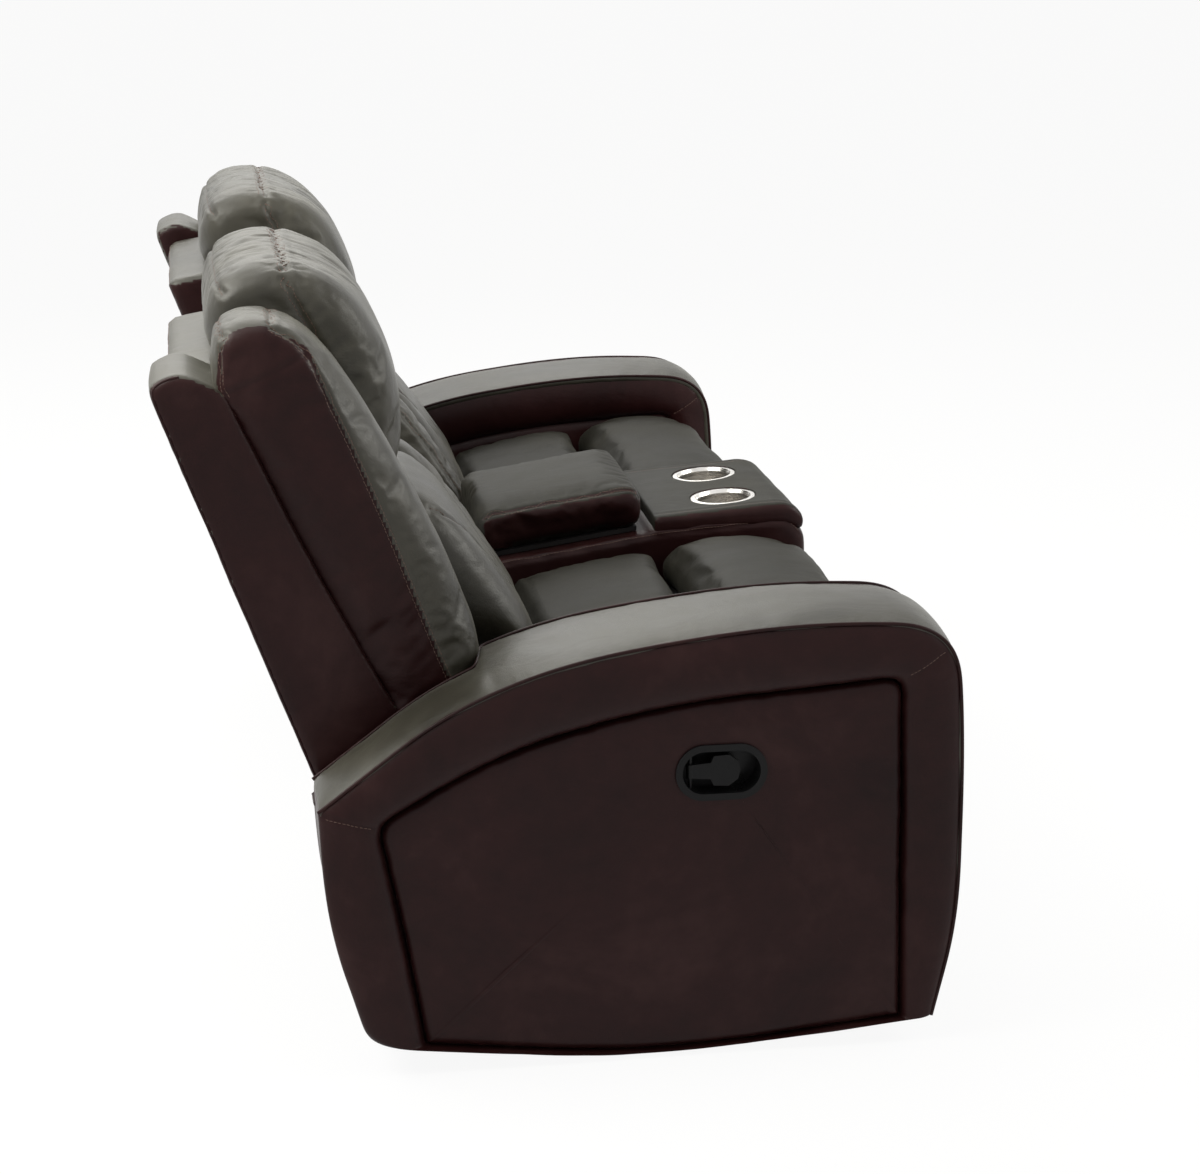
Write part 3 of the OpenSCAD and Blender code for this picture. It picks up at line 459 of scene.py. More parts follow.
def through_rings(name, rings, ends=True):
    deselect()
    count = len(rings[0])
    bpy.ops.mesh.primitive_circle_add(vertices=count, radius=0.1, fill_type="NOTHING")
    piece = bpy.context.object
    piece.name = piece.data.name = name
    bpy.ops.object.mode_set(mode="EDIT")
    bpy.ops.mesh.select_all(action="SELECT")
    mesh = bmesh.from_edit_mesh(piece.data)
    place = mesh.verts.layers.int.new("place")
    mesh.verts.ensure_lookup_table()
    for i in range(count):
        mesh.verts[i][place] = i
        mesh.verts[i].co = rings[0][i]
    for outline in rings[1:]:
        bpy.ops.mesh.extrude_edges_move()
        mesh = bmesh.from_edit_mesh(piece.data)
        place = mesh.verts.layers.int["place"]
        for point in mesh.verts:
            if point.select:
                point.co = outline[point[place]]
    if ends:
        bpy.ops.mesh.fill()
        bpy.ops.mesh.select_all(action="DESELECT")
        bpy.ops.mesh.select_non_manifold()
        bpy.ops.mesh.fill()
        bpy.ops.mesh.select_all(action="SELECT")
    bpy.ops.mesh.normals_make_consistent(inside=False)
    bpy.ops.object.mode_set(mode="OBJECT")
    piece.data.attributes.remove(piece.data.attributes["place"])
    return piece


def apply_modifier(piece, kind, **settings):
    take(piece)
    modifier = piece.modifiers.new("shaping", kind)
    for key, value in settings.items():
        setattr(modifier, key, value)
    bpy.ops.object.modifier_apply(modifier=modifier.name)
    return piece


def divide(piece):
    return apply_modifier(piece, "SUBSURF", levels=1, render_levels=1, use_limit_surface=False)


def smooth(piece, degrees=None):
    take(piece)
    if degrees is None:
        bpy.ops.object.shade_smooth()
    else:
        bpy.ops.object.shade_smooth_by_angle(angle=math.radians(degrees))
    return piece


def numbers(items, what):
    flat = np.empty(len(items) * 3, np.float32)
    items.foreach_get(what, flat)
    return flat.reshape(-1, 3).astype(float)


def points_of(piece):
    return numbers(piece.data.vertices, "co")


def normals_of(piece):
    return numbers(piece.data.vertices, "normal")


def move_points(piece, points):
    piece.data.vertices.foreach_set("co", np.asarray(points, np.float32).ravel())
    piece.data.update()


print("skins can be pulled through rings")

# %% [markdown]
# Leather over foam is never smooth. Three more tools give it life. Settling adds slow,
# shallow hollows. Sewing presses a groove along a seam and lets short gathers run out of
# it, deepest at the seam. Stitches are small real pieces of thread, laid in rows beside it.
# %% Settling, seams and stitches
SEAM_STEP, ROW_STEP = 0.002, 0.0013
STITCH_LENGTH, THREAD_RADIUS, STITCH_SAG, ROW_END = 0.0034, 0.00052, 0.00035, 0.003


def wave(points, size, seed):
    shift_by = Vector((seed * 7.3, seed * 3.1, seed * 5.7))
    return np.array([noise.noise(Vector(p) / size + shift_by) for p in points])


def settle(piece, depth, size, seed):
    """Slow hollows and swells, depth in millimetres."""
    points, out = points_of(piece), normals_of(piece)
    lift = wave(points, size, seed) * 0.7 + wave(points, size * 0.42, seed + 5) * 0.3
    move_points(piece, points + out * (lift * depth / 1000.0)[:, None])
    return piece


def lay(piece, path, spacing=SEAM_STEP):
    """A path in space laid on the piece's skin, with even spacing."""
    tree = BVHTree.FromObject(piece, bpy.context.evaluated_depsgraph_get())
    path = np.asarray(path, float)
    length = np.linalg.norm(np.diff(path, axis=0), axis=1).sum()
    found = [tree.find_nearest(Vector(p)) for p in even(path, max(4, int(length / spacing)))]
    return np.array([spot for spot, *_ in found]), np.array([out for _, out, *_ in found])


def tree_of(line):
    tree = kdtree.KDTree(len(line))
    for i, p in enumerate(line):
        tree.insert(p, i)
    tree.balance()
    return tree


def fold_at(s, a, side, k, gathers, reach, pitch, seed):
    """Height (mm) of a gather s along seam k and a away from it, on one side of it."""
    tilt = a * 0.35 * noise.noise(Vector((s / 0.05, side * 3, seed + k)))
    wobble = noise.noise(Vector(((s + tilt) / pitch, side * 9.1 + k, seed)))
    reach *= 0.65 + 0.6 * noise.noise(Vector((s / 0.03, side * 4.4, seed + 2)))
    fade = math.exp(-(a / max(0.008, reach)) ** 2) * (1 - math.exp(-(a / 0.006) ** 2))
    return gathers * wobble * fade


def sew(piece, seams, depth, width, gathers, reach, pitch, seed, puff=0.0):
    """Presses grooves along paths. Gathers (mm) run out of each seam over reach, pitch apart."""
    points, out = points_of(piece), normals_of(piece)
    moved, within = np.zeros(len(points)), reach * 1.6
    for k, path in enumerate(seams):
        line, _ = lay(piece, path)
        tree = tree_of(line)
        run = unit(np.gradient(line, axis=0))
        side_on, along = np.zeros(len(points)), np.zeros(len(points))
        away = np.full(len(points), 1e3)
        for i, p in enumerate(points):
            _, j, far = tree.find(p)
            if far < within:
                away[i], along[i] = far, j * SEAM_STEP
                side_on[i] = np.sign(np.dot(np.cross(run[j], out[i]), p - line[j]))
        near = away < within
        w = width / 1000.0
        groove = np.exp(-(away[near] / w) ** 2) * depth
        lip = np.exp(-((away[near] - 3.2 * w) / (2.2 * w)) ** 2) * puff
        fold = [fold_at(s, a, side, k, gathers, reach, pitch, seed)
            for s, a, side in zip(along[near], away[near], side_on[near])]
        moved[near] += lip + fold - groove
    move_points(piece, points + out * (moved / 1000.0)[:, None])
    return piece


def one_stitch():
    """A short thread, rounded at both ends, lying along X."""
    deselect()
    bpy.ops.mesh.primitive_cylinder_add(
        vertices=6, radius=THREAD_RADIUS, depth=STITCH_LENGTH, rotation=(0, math.pi / 2, 0))
    stitch = bpy.context.object
    bpy.ops.object.transform_apply(location=False, rotation=True, scale=False)
    with editing(stitch, "DESELECT"):
        mesh = bmesh.from_edit_mesh(stitch.data)
        for face in mesh.faces:
            face.select = len(face.verts) == 6
        mesh.select_flush(True)
        bpy.ops.mesh.inset(thickness=0.0002, depth=0.00035)
    points = points_of(stitch)
    points[:, 2] -= (points[:, 0] / (STITCH_LENGTH / 2)) ** 2 * STITCH_SAG
    faces = [list(face.vertices) for face in stitch.data.polygons]
    bpy.data.objects.remove(stitch)
    return points, faces


STITCH_POINTS, STITCH_FACES = one_stitch()


def stitches(name, piece, seams, offsets, pitch=0.0052, lift=0.0002):
    """Rows of thread beside seams, one copy of the stitch at each step."""
    points, faces = [], []
    for path in seams:
        line, out = lay(piece, path, ROW_STEP)
        line = smooth_line(line, 24)
        side = unit(np.cross(out, unit(np.gradient(line, axis=0))))
        for offset in offsets:
            row, up = lay(piece, line + side * offset, ROW_STEP)
            row = smooth_line(row, 14)
            steps = travelled(row)
            for s in np.arange(ROW_END, steps[-1] - ROW_END, pitch):
                i = min(max(int(np.searchsorted(steps, s)), 2), len(row) - 3)
                x = unit(row[i + 2] - row[i - 2])
                y = unit(np.cross(up[i], x))
                faces += [[len(points) + v for v in face] for face in STITCH_FACES]
                turn = np.array([x, y, np.cross(x, y)])
                points += list(row[i] + up[i] * lift + STITCH_POINTS @ turn)
    mesh = bpy.data.meshes.new(name)
    mesh.from_pydata([tuple(p) for p in points], [], faces)
    rows = bpy.data.objects.new(name, mesh)
    bpy.context.scene.collection.objects.link(rows)
    dress(rows, THREAD)
    return smooth(rows)


def smooth_line(line, rounds):
    line = np.array(line, float)
    for _ in range(rounds):
        line[1:-1] = 0.25 * line[:-2] + 0.5 * line[1:-1] + 0.25 * line[2:]
    return line


def dress(piece, *finishes):
    piece.data.materials.clear()
    for finish in finishes:
        piece.data.materials.append(finish)
    return piece


def two_tone(piece, plain, other, is_other):
    """Two leathers on one piece, one of them with a painted sheen. is_other gets the faces'
    middles (mm) and normals.
    """
    dress(piece, plain, other)
    faces = piece.data.polygons
    chosen = is_other(numbers(faces, "center") * 1000, numbers(faces, "normal"))
    faces.foreach_set("material_index", np.asarray(chosen, np.int32))
    piece.data.update()
    return piece


def tube(name, path, radius, finish, sides=8):
    """A wire or piping along a path: a circle extruded from point to point."""
    path = np.asarray(path, float)
    run = unit(np.gradient(path, axis=0))
    up = np.array([1.0, 0.0, 0.0]) if abs(run[0][0]) < 0.9 else np.array([0.0, 0.0, 1.0])
    turn = np.linspace(0, 2 * np.pi, sides, endpoint=False)
    rings = []
    for p, d in zip(path, run):
        up = unit(up - d * (up @ d), 0)
        side = np.cross(d, up)
        rings.append([p + radius * (math.cos(a) * up + math.sin(a) * side) for a in turn])
    return smooth(dress(through_rings(name, rings), finish))


print("stitch:", len(STITCH_FACES), "faces")

# %% [markdown]
# Cushions are simulated. The outline is pulled into a closed block a little smaller than
# the real cushion, remeshed to an even net, and blown up as cloth with air pressure and no
# gravity, while the seams are held where they are. The skin then swells between the seams
# and wrinkles beside them, as leather over a full foam core does. How far a point may move
# is capped, and planes keep the cushion off its neighbours.
# %% Padded blocks and the pressure that fills them
def edge_in(e, r, d):
    return 0.0 if e >= r else d * (1 - math.sqrt(1 - (1 - e / r) ** 2))


def padded_rings(points, x0, x1, d, crown, pinch, less=0.0, n=8):
    """Rings of a cushion between two side planes: edges rolled in by d, sides pinched."""
    half = (x1 - x0) / 2
    r = min(2 * d, 0.6 * half)
    roll = [r * (1 - math.cos(a)) for a in np.linspace(0, math.pi / 2, 7)]
    flat = np.linspace(r, 2 * half - r, 9)[1:-1]
    across = [*roll, *flat, *[2 * half - e for e in reversed(roll)]]
    lo, hi = min(p[0] for p in points), max(p[0] for p in points)
    rings = []
    for e in across:
        near_end = min(e, 2 * half - e)
        dd = edge_in(near_end, r, d) + crown * (1 - near_end / half) ** 2 + less
        outline = soft(narrow(points, dd), n)
        v = (2 * outline[:, 0] - lo - hi) / (hi - lo)
        out = (e - half) / half
        x = x0 + less + e * (1 - less / half) - pinch * out * np.maximum(0, 1 - v * v)
        rings.append(ring(x, outline))
    return rings


def net(piece, cell, rounds):
    """An even net over a closed block, with its steps smoothed away."""
    apply_modifier(piece, "REMESH", mode="VOXEL", voxel_size=cell, use_smooth_shade=True)
    return apply_modifier(piece, "SMOOTH", factor=0.5, iterations=rounds)


def blow_up(piece, cap, held, slack, hold=0.006, pressure=4.0, frames=20):
    """Cloth with air pressure inside. Points near the held paths stay. Cap in millimetres."""
    start = points_of(piece)
    group = piece.vertex_groups.new(name="held")
    for path in held:
        tree = tree_of(lay(piece, path, 0.003)[0])
        group.add([i for i, p in enumerate(start) if tree.find(p)[2] < hold], 1.0, "REPLACE")
    take(piece)
    cloth = piece.modifiers.new("cloth", "CLOTH")
    for key, value in {
            "quality": 4, "mass": 0.3, "tension_stiffness": 12, "compression_stiffness": 6,
            "shear_stiffness": 5, "bending_stiffness": 0.4, "shrink_min": -slack,
            "use_pressure": True, "uniform_pressure_force": pressure,
            "vertex_group_mass": "held"}.items():
        setattr(cloth.settings, key, value)
    cloth.settings.effector_weights.gravity = 0
    cloth.collision_settings.use_collision = False
    cloth.point_cache.frame_start = 1
    cloth.point_cache.frame_end = frames
    for frame_number in range(1, frames + 1):
        bpy.context.scene.frame_set(frame_number)
    bpy.ops.object.modifier_apply(modifier=cloth.name)
    bpy.context.scene.frame_set(1)
    step = points_of(piece) - start
    far = np.linalg.norm(step, axis=1)
    limit = cap / 1000.0
    scale = limit * np.tanh(far / limit) / np.maximum(far, 1e-9)
    move_points(piece, start + step * scale[:, None])
    piece.vertex_groups.clear()
    print(piece.name, "swelled by", round(float(far.max() * 1000)), "mm, kept to", cap)
    return piece


SOFT_ZONE = 0.004


def fence(piece, x0, x1, *planes):
    """Keeps a piece between x0 and x1 and inside planes, each (direction, furthest place, mm)."""
    points = points_of(piece)
    for axis, limit in (((1, 0, 0), x1), ((-1, 0, 0), -x0), *planes):
        axis = unit(np.array(axis, float), 0)
        over = np.maximum(points @ axis - limit / 1000.0 + SOFT_ZONE, 0)
        points -= (over - SOFT_ZONE * np.tanh(over / SOFT_ZONE))[:, None] * axis
    move_points(piece, points)
    return piece


def cushion(name, side, x0, x1, rolls, cell, cap, held, slack, hollows):
    """A rounded block, netted, filled with air between its held seams, divided and settled."""
    piece = net(through_rings(name, padded_rings(side, x0, x1, *rolls)), cell, 4)
    return settle(divide(blow_up(piece, cap, held, slack)), *hollows)


def other_side(piece, name):
    """The same piece for the -X half: its own mesh, mirrored, with its faces turned out again."""
    twin = piece.copy()
    twin.data = piece.data.copy()
    twin.name = twin.data.name = name
    bpy.context.scene.collection.objects.link(twin)
    move_points(twin, points_of(twin) * [-1, 1, 1])
    with editing(twin):
        bpy.ops.mesh.flip_normals()
    return twin


def set_alone(piece, body, node_name=None):
    """Puts one piece on its body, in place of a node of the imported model."""
    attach(piece, body)
    if node_name:
        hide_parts(node_name)


def seat_it(piece, part, body, padding=None, replaced=None):
    """Puts a piece made for the left half on its body, and its mirrored twin on the other one."""
    if replaced is None and padding is not None:
        replaced = part
    part += "" if padding is None else "_cover"
    twin = other_side(piece, "right_" + part)
    piece.name = piece.data.name = "left_" + part
    for side, here in (("left_", piece), ("right_", twin)):
        set_alone(here, body if body in ("base", "lid") else side + body,
            side + replaced if replaced else None)
    return piece


def sewn_on(part, body, piece, seams, *offsets, pitch=0.0052):
    return seat_it(stitches(part, piece, seams, offsets, pitch), part, body)


print("padding tools are ready")

# %% [markdown]
# Each arm is a padded slab. A narrow crowned pad runs over its top and down its front
# between two piped seams, a puffed band borders each side, and a puffed panel sits in the
# band behind a deep groove. The band can't come from a bevel, because its width changes
# from the front to the tail, so the slab is a skin through rings: side panel edge, groove,
# puffed band, seam, across the arm, and the same again on the other side.
# %% The arm's outlines
ARM_FOOT = soft_path([
    [FRONT + 31, 34], [FRONT + 415, -1, 170], [TAIL_Y - 58, 42, 26], [TAIL_Y - 9, 200, 90],
    [TAIL_Y, TAIL_Z]], 10)
ARM_EDGE = np.vstack([ARM_FOOT[:-1], ARM_LINE[:-1]])
PANEL_EDGE = soft([
    [FRONT + 72, 32, 0], [FRONT + 415, 0, 170], [TAIL_Y - 132, 34, 0], [TAIL_Y - 111, 160, 60],
    [TAIL_Y - 76, TAIL_Z - 25, 24], [TAIL_Y - 231, ARM_H - 155, 110],
    [FRONT + 405, ARM_H - 102, 110], [FRONT + 83, ARM_H - 76, 26], [FRONT + 77, 270, 60]], 10)
ARM_CORNERS = [(FRONT + 31, 34), (TAIL_Y - 58, 42), (TAIL_Y, TAIL_Z), (FRONT + 27, ARM_H - 42)]
PANEL_CORNERS = [
    (FRONT + 72, 32), (TAIL_Y - 132, 34), (TAIL_Y - 76, TAIL_Z - 25), (FRONT + 83, ARM_H - 78)]
SHARES = (84, 44, 112, 72)


def in_step(outline, corners):
    """The outline with the same share of points between its four corners as any other one."""
    ends = zip(corners, corners[1:] + corners[:1], SHARES)
    return np.vstack([between(outline, a, b, share + 1)[:-1] for a, b, share in ends])


ARM_RING = in_step(ARM_EDGE, ARM_CORNERS)
PANEL_RING = in_step(PANEL_EDGE, PANEL_CORNERS)


def inwards(outline, d):
    run = unit(np.roll(outline, -1, 0) - np.roll(outline, 1, 0))
    return outline + np.stack([-run[:, 1], run[:, 0]], 1) * d


ON_ARM, ON_PANEL = SHARES[0] + SHARES[1], SHARES[0] + 20
BAND = np.linalg.norm(ARM_RING - PANEL_RING, axis=1)
print("border band up to", round(float(BAND.max())), "mm wide")

# %% [markdown]
# The back's wing hangs over the inner edge of the arm's tail and sweeps down when the back
# reclines, so the tail is lower there. The rings that lie under the wing are dipped.
# %% The slab of the arm
ROOM = np.array([
    (REAR - 440, TAIL_Z + 89), (REAR - 375, TAIL_Z + 79), (REAR - 320, TAIL_Z + 49),
    (REAR - 256, TAIL_Z - 1), (REAR - 212, TAIL_Z - 35), (REAR - 130, TAIL_Z - 60)])
ROOM_X = IN_X + 75


def dipped(x, outline):
    outline = np.array(outline, float)
    x = np.broadcast_to(x, len(outline)).astype(float)
    top = np.interp(outline[:, 0], ROOM[:, 0], ROOM[:, 1] - 2, left=2000)
    under = (x < ROOM_X) & (outline[:, 0] > REAR - 440)
    low = np.where(under, np.minimum(outline[:, 1], top), outline[:, 1])
    return np.stack([outline[:, 0], low], 1)


def band_rings(side_x, out, depth_of_groove):
    """Rings from the seam at the arm's edge over the puffed band into the groove."""
    puff = np.minimum(1.0, BAND / 70.0)
    rings = []
    for u, lift in (
            (0.0, -7.0), (0.03, -3.4), (0.09, 0.2), (0.18, 3.4), (0.3, 5.8), (0.42, 6.8),
            (0.55, 6.9), (0.67, 6.0), (0.78, 3.8), (0.87, 0.4), (0.94, -4.6), (0.985, -11.0)):
        lift_here = lift * puff if lift > 0 else lift
        rings.append((side_x + out * lift_here, ARM_RING * (1 - u) + PANEL_RING * u))
    return rings + [(side_x - out * depth_of_groove, PANEL_RING)]


def arm_slab():
    edge = inwards(ARM_RING, 1.5)
    middle = (IN_X + 17, IN_X + 22, IN_X + 48, ROOM_X - 0.6, ROOM_X + 0.6,
        IN_X + 110, OUT_X - 60, OUT_X - 22, OUT_X - 14)
    steps = [
        (IN_X + 9.5, inwards(PANEL_RING, 18)), (IN_X + 11.0, inwards(PANEL_RING, 8)),
        *reversed(band_rings(IN_X + 6.5, -1, 8)), *((x, edge) for x in middle),
        *band_rings(OUT_X - 2, 1, 24), (OUT_X - 41.0, inwards(PANEL_RING, 16))]
    return through_rings("arm_shell", [ring(x, dipped(x, outline)) for x, outline in steps])


arm_shell = arm_slab()
divide(arm_shell)
MITRES = []
for x in (OUT_X + 3, IN_X + 1):
    for a, b in (
            ((FRONT + 27, ARM_H - 42), (FRONT + 83, ARM_H - 78)),
            ((TAIL_Y - 4, TAIL_Z - 2), (TAIL_Y - 76, TAIL_Z - 25))):
        t = np.linspace(0.04, 0.93, 12)[:, None]
        MITRES.append(ring(x, np.array(a, float) * (1 - t) + np.array(b, float) * t))
settle(arm_shell, 1.5, 0.13, 2)
sew(arm_shell, MITRES, 1.6, 2.6, 0.9, 0.035, 0.017, 4)
GROOVE_LINES = [ring(x, inwards(PANEL_RING, -9)[ON_PANEL:-20]) for x in (OUT_X, IN_X)]
EDGE_LINES = [ring(x, ARM_RING[ON_ARM:-10]) for x in (OUT_X - 2, IN_X + 2)]
sew(arm_shell, GROOVE_LINES, 0.0, 3.0, 1.1, 0.030, 0.021, 9)
sew(arm_shell, EDGE_LINES, 0.0, 3.0, 0.8, 0.026, 0.018, 12)
dress(smooth(arm_shell), SIDE_LEATHER)
seat_it(arm_shell, "arm_shell", "base", 0.8)
print("arm slab:", len(arm_shell.data.polygons), "faces")

# %% [markdown]
# The panel inside the band is stretched leather over thin foam: nearly flat, rolled over at
# its edge, with small puckers where it turns into the groove. It has a hole for the recline
# handle. Its skin runs from the back, over the rolled edge and across the face to the hole,
# so no boolean cut is needed and the faces stay tidy.
# %% The side panel
HANDLE_Y, HANDLE_Z, BEZEL_L, BEZEL_H = FRONT + 322, 393.0, 120.0, 75.0
PANEL_FACE = OUT_X - 3.7


def stadium(directions, length, height):
    """Points of a stadium round the handle, one for each direction from its middle."""
    r, half = height / 2, (length - height) / 2
    points = []
    for dy, dz in directions:
        lo, hi = 0.0, length
        for _ in range(40):
            t = (lo + hi) / 2
            inside = math.hypot(max(abs(dy * t) - half, 0), dz * t) < r
            lo, hi = (t, hi) if inside else (lo, t)
        points.append((HANDLE_Y + dy * lo, HANDLE_Z + dz * lo))
    return np.array(points)


def side_panel():
    edge = inwards(PANEL_RING, 1.4)
    hole = stadium(unit(edge - np.array([HANDLE_Y, HANDLE_Z]), 0), BEZEL_L - 11, BEZEL_H - 11)
    start = inwards(edge, 16.0)
    steps = [(30, hole * 0.25 + inwards(edge, 12) * 0.75), (30, inwards(edge, 2)), (24, edge)]
    steps += [(deep, inwards(edge, d)) for deep, d in (
        (15, 0.2), (10, 1.6), (6.4, 4.4), (3.8, 9.0), (2.2, 16.0))]
    steps += [(2.2 - 2.2 * min(1, t * 2.4), start * (1 - t) + hole * t) for t in (
        0.10, 0.2, 0.3, 0.4, 0.5, 0.6, 0.7, 0.8, 0.87, 0.93, 0.97, 1.0)]
    steps += [(6, inwards(hole, 0.2)), (30, inwards(hole, 0.2))]
    rings = [ring(PANEL_FACE - deep, outline) for deep, outline in steps]
    piece = through_rings("arm_side_panel", rings, ends=False)
    with editing(piece, "DESELECT"):
        bpy.ops.mesh.select_non_manifold()
        bpy.ops.mesh.bridge_edge_loops()
        bpy.ops.mesh.select_all(action="SELECT")
        bpy.ops.mesh.normals_make_consistent(inside=False)
    return piece


arm_side_panel = side_panel()
divide(arm_side_panel)
before = points_of(arm_side_panel)
from_handle = np.hypot(
    (before[:, 1] * 1000 - HANDLE_Y) / 1.3, before[:, 2] * 1000 - HANDLE_Z)
far_from_handle = np.clip((from_handle - 44) / 40, 0, 1)
settle(arm_side_panel, 2.6, 0.17, 6)
PUCKERS = ring(PANEL_FACE, inwards(PANEL_RING, 8))
sew(arm_side_panel, [PUCKERS[ON_PANEL:-30]], 0.0, 3.0, 1.5, 0.045, 0.019, 5)
sew(arm_side_panel, [PUCKERS[6:78]], 0.0, 3.0, 0.9, 0.035, 0.030, 15)
after = points_of(arm_side_panel)
after = before + (after - before) * far_from_handle[:, None]
after[:, 0] = np.minimum(after[:, 0], (PANEL_FACE + 2.5) / 1000)
move_points(arm_side_panel, after)
dress(smooth(arm_side_panel, 50), SIDE_LEATHER)
seat_it(arm_side_panel, "arm_side_panel", "base", 0.8)
print("side panel:", len(arm_side_panel.data.polygons), "faces")

# %% [markdown]
# The pad on top is swept along the arm's line: one cross-section, crowned in the middle and
# drawn down to its seams, extruded from the tail over the crest to the front foot. Under
# the wing it leaves its inner edge and narrows. Two piped seams follow its edges.
# %% The pad on top and its piping
PAD_STEPS = 190


def inner_x(y):
    t = np.clip((y - (REAR - 418)) / 12.0, 0, 1)
    return IN_X + 4 + (ROOM_X - IN_X - 2) * t * t * (3 - 2 * t)


def arm_pad():
    line = even(ARM_LINE, PAD_STEPS)
    run = unit(np.gradient(line, axis=0), 0)
    left = np.stack([-run[:, 1], run[:, 0]], 1)
    across = [0.0, 0.006, 0.02, 0.045, 0.08, *np.linspace(0.13, 0.87, 17),
        0.92, 0.955, 0.98, 0.994, 1.0]
    rings = []
    for k, (p, n) in enumerate(zip(line, left)):
        x0, x1 = float(inner_x(p[0])), OUT_X - 4
        end = min(1.0, 0.25 + min(k, len(line) - 1 - k) / 3.0)
        top = [(v, 2.6 - 10.5 * (1 - abs(2 * v - 1) ** 2.6) * end) for v in across]
        section = top + [(v, 13) for v in (1.0, 0.9, 0.5, 0.1, 0.0)]
        rings.append(np.array([[x0 + (x1 - x0) * v, *(p + n * d)] for v, d in section]) / 1000.0)
    return through_rings("arm_top_pad", rings)


arm_top_pad = arm_pad()
divide(arm_top_pad)
settle(arm_top_pad, 1.8, 0.10, 8)
seam_line = even(shift(ARM_LINE, 1.0), PAD_STEPS)
PAD_EDGES = [
    ring(OUT_X - 5.0, seam_line), ring(inner_x(even(ARM_LINE, PAD_STEPS)[:, 0]) + 1.0, seam_line)]
sew(arm_top_pad, PAD_EDGES, 0.0, 3.0, 1.0, 0.035, 0.020, 21)
# The pad gets the leather whose colour is a painted sheen.
dress(smooth(arm_top_pad), SHEEN_PAINTED_LEATHER)
seat_it(arm_top_pad, "arm_top_pad", "base", 0.7)
for part, edge in zip(("arm_outer_piping", "arm_inner_piping"), PAD_EDGES):
    piping = tube(part, smooth_line(even(edge, 260), 3), 0.0026, SIDE_LEATHER)
    seat_it(piping, part, "base")
mitre_rows = sewn_on("arm_mitre_stitching", "base", arm_shell, MITRES, 0.0028, pitch=0.0056)
print("stitches in the mitres:", len(mitre_rows.data.polygons) // len(STITCH_FACES))

# %% [markdown]
# Each back is one unit that reclines: a flat shell at the rear, a boxed wing that reaches
# over the arm, a tall bolster on each side, and between them a head pillow over a lumbar
# cushion. The shell and the wing are firm boards with a thin pad, so they are skins through
# rings with rolled edges and a little hollow and swell. Two seams cross the shell's rear.
# %% The shell at the rear of each back
BACK_X0, WING_X0, WING_X1 = CON_X + 4, 631.0, 815.0
SEAT_H, WAIST, PIVOT_Z = 527.0, 700.0, 165.0
BOLSTER_CELL, BACK_CELL, SEAT_CELL = 0.0075, 0.0078, 0.0085


def lean(z):
    """The place of the back frame's front face at a height."""
    return [REAR - 262.6 + 168.0 * (z - 420) / 450.0, z]


def boxed(name, points, x0, x1, roll, cell):
    """A firm padded board: edges rolled over, then an even net."""
    return net(through_rings(name, padded_rings(points, x0, x1, roll, 0, 0)), cell, 3)


SHELL_FOOT = [[REAR - 283, PIVOT_Z, 6], [REAR - 257, PIVOT_Z, 8]]
SHELL_SIDE = SHELL_FOOT + [
    [REAR - 212, 345, 120], [REAR - 18, BACK_H - 146, 14], [REAR - 93, BACK_H - 132, 10],
    [REAR - 98, BACK_H - 158, 8], [REAR - 84, BACK_H - 178, 10], [REAR - 240, PIVOT_Z + 255, 120]]
back_shell = boxed("back_shell", SHELL_SIDE, BACK_X0, WING_X0 + 8.7, 6, 0.007)
settle(back_shell, 2.4, 0.16, 31)
SHELL_SEAMS = [even([[x / 1000, y / 1000, z / 1000] for x in (BACK_X0 + 4, WING_X0 + 5)], 40)
    for y, z in ((REAR - 20, BACK_H - 143), (REAR - 118, 560))]
sew(back_shell, SHELL_SEAMS, 1.8, 2.6, 0.8, 0.03, 0.02, 33)
# Faces turned up get the leather with a painted sheen; the rest keeps the plain dark leather.
two_tone(smooth(back_shell), SIDE_LEATHER, SHEEN_PAINTED_LEATHER, lambda at, out: out[:, 2] > 0.45)
seat_it(back_shell, "back_shell", "back", 0.8)
SKIRT_SIDE = SHELL_FOOT + [[REAR - 217, 318, 8], [REAR - 262, 318, 8]]
back_skirt = through_rings(
    "back_skirt", padded_rings(SKIRT_SIDE, WING_X0 - 12, IN_X - 4, 5, 0, 0))
dress(smooth(back_skirt, 40), SIDE_LEATHER)
seat_it(back_skirt, "back_skirt", "back", 0.9, replaced="")
sewn_on("back_shell_stitching", "back", back_shell, SHELL_SEAMS, 0.0032)
print("shell", len(back_shell.data.polygons), "faces")

# %% [markdown]
# The wing is a boxed board too. It stands behind the outer bolster and reaches over the
# arm. Its piping lies in the seam along its rear edge.
# %% The wing behind the bolster
def wing_seam(d):
    return [[REAR - 95 - d, BACK_H - 140, 10], [REAR - 185 - d, BACK_H - 341, 120],
        [REAR - 283 - d, TAIL_Z + 120, 60], [REAR - 317 - d, TAIL_Z + 63, 6]]


WING_SIDE = [
    [REAR - 200, TAIL_Z - 29, 14], [REAR + 5, BACK_H - 129, 16], [REAR - 37, BACK_H - 110, 20],
    *[[*p, 0.3] for p in wing_seam(0)]]
back_wing = boxed("back_wing", WING_SIDE, WING_X0 + 9, WING_X1, 6, 0.006)
settle(back_wing, 2.0, 0.12, 35)
wing_edge = even(soft(narrow(WING_SIDE, 2), 8), 500, True)
rear_run = between(wing_edge, (REAR - 200, TAIL_Z - 29), (REAR - 39, BACK_H - 111), 70)
WING_SEAMS = [ring(x, rear_run) for x in (WING_X1 - 4, WING_X0 + 13)]
sew(back_wing, WING_SEAMS, 1.5, 2.4, 0.7, 0.026, 0.018, 37)
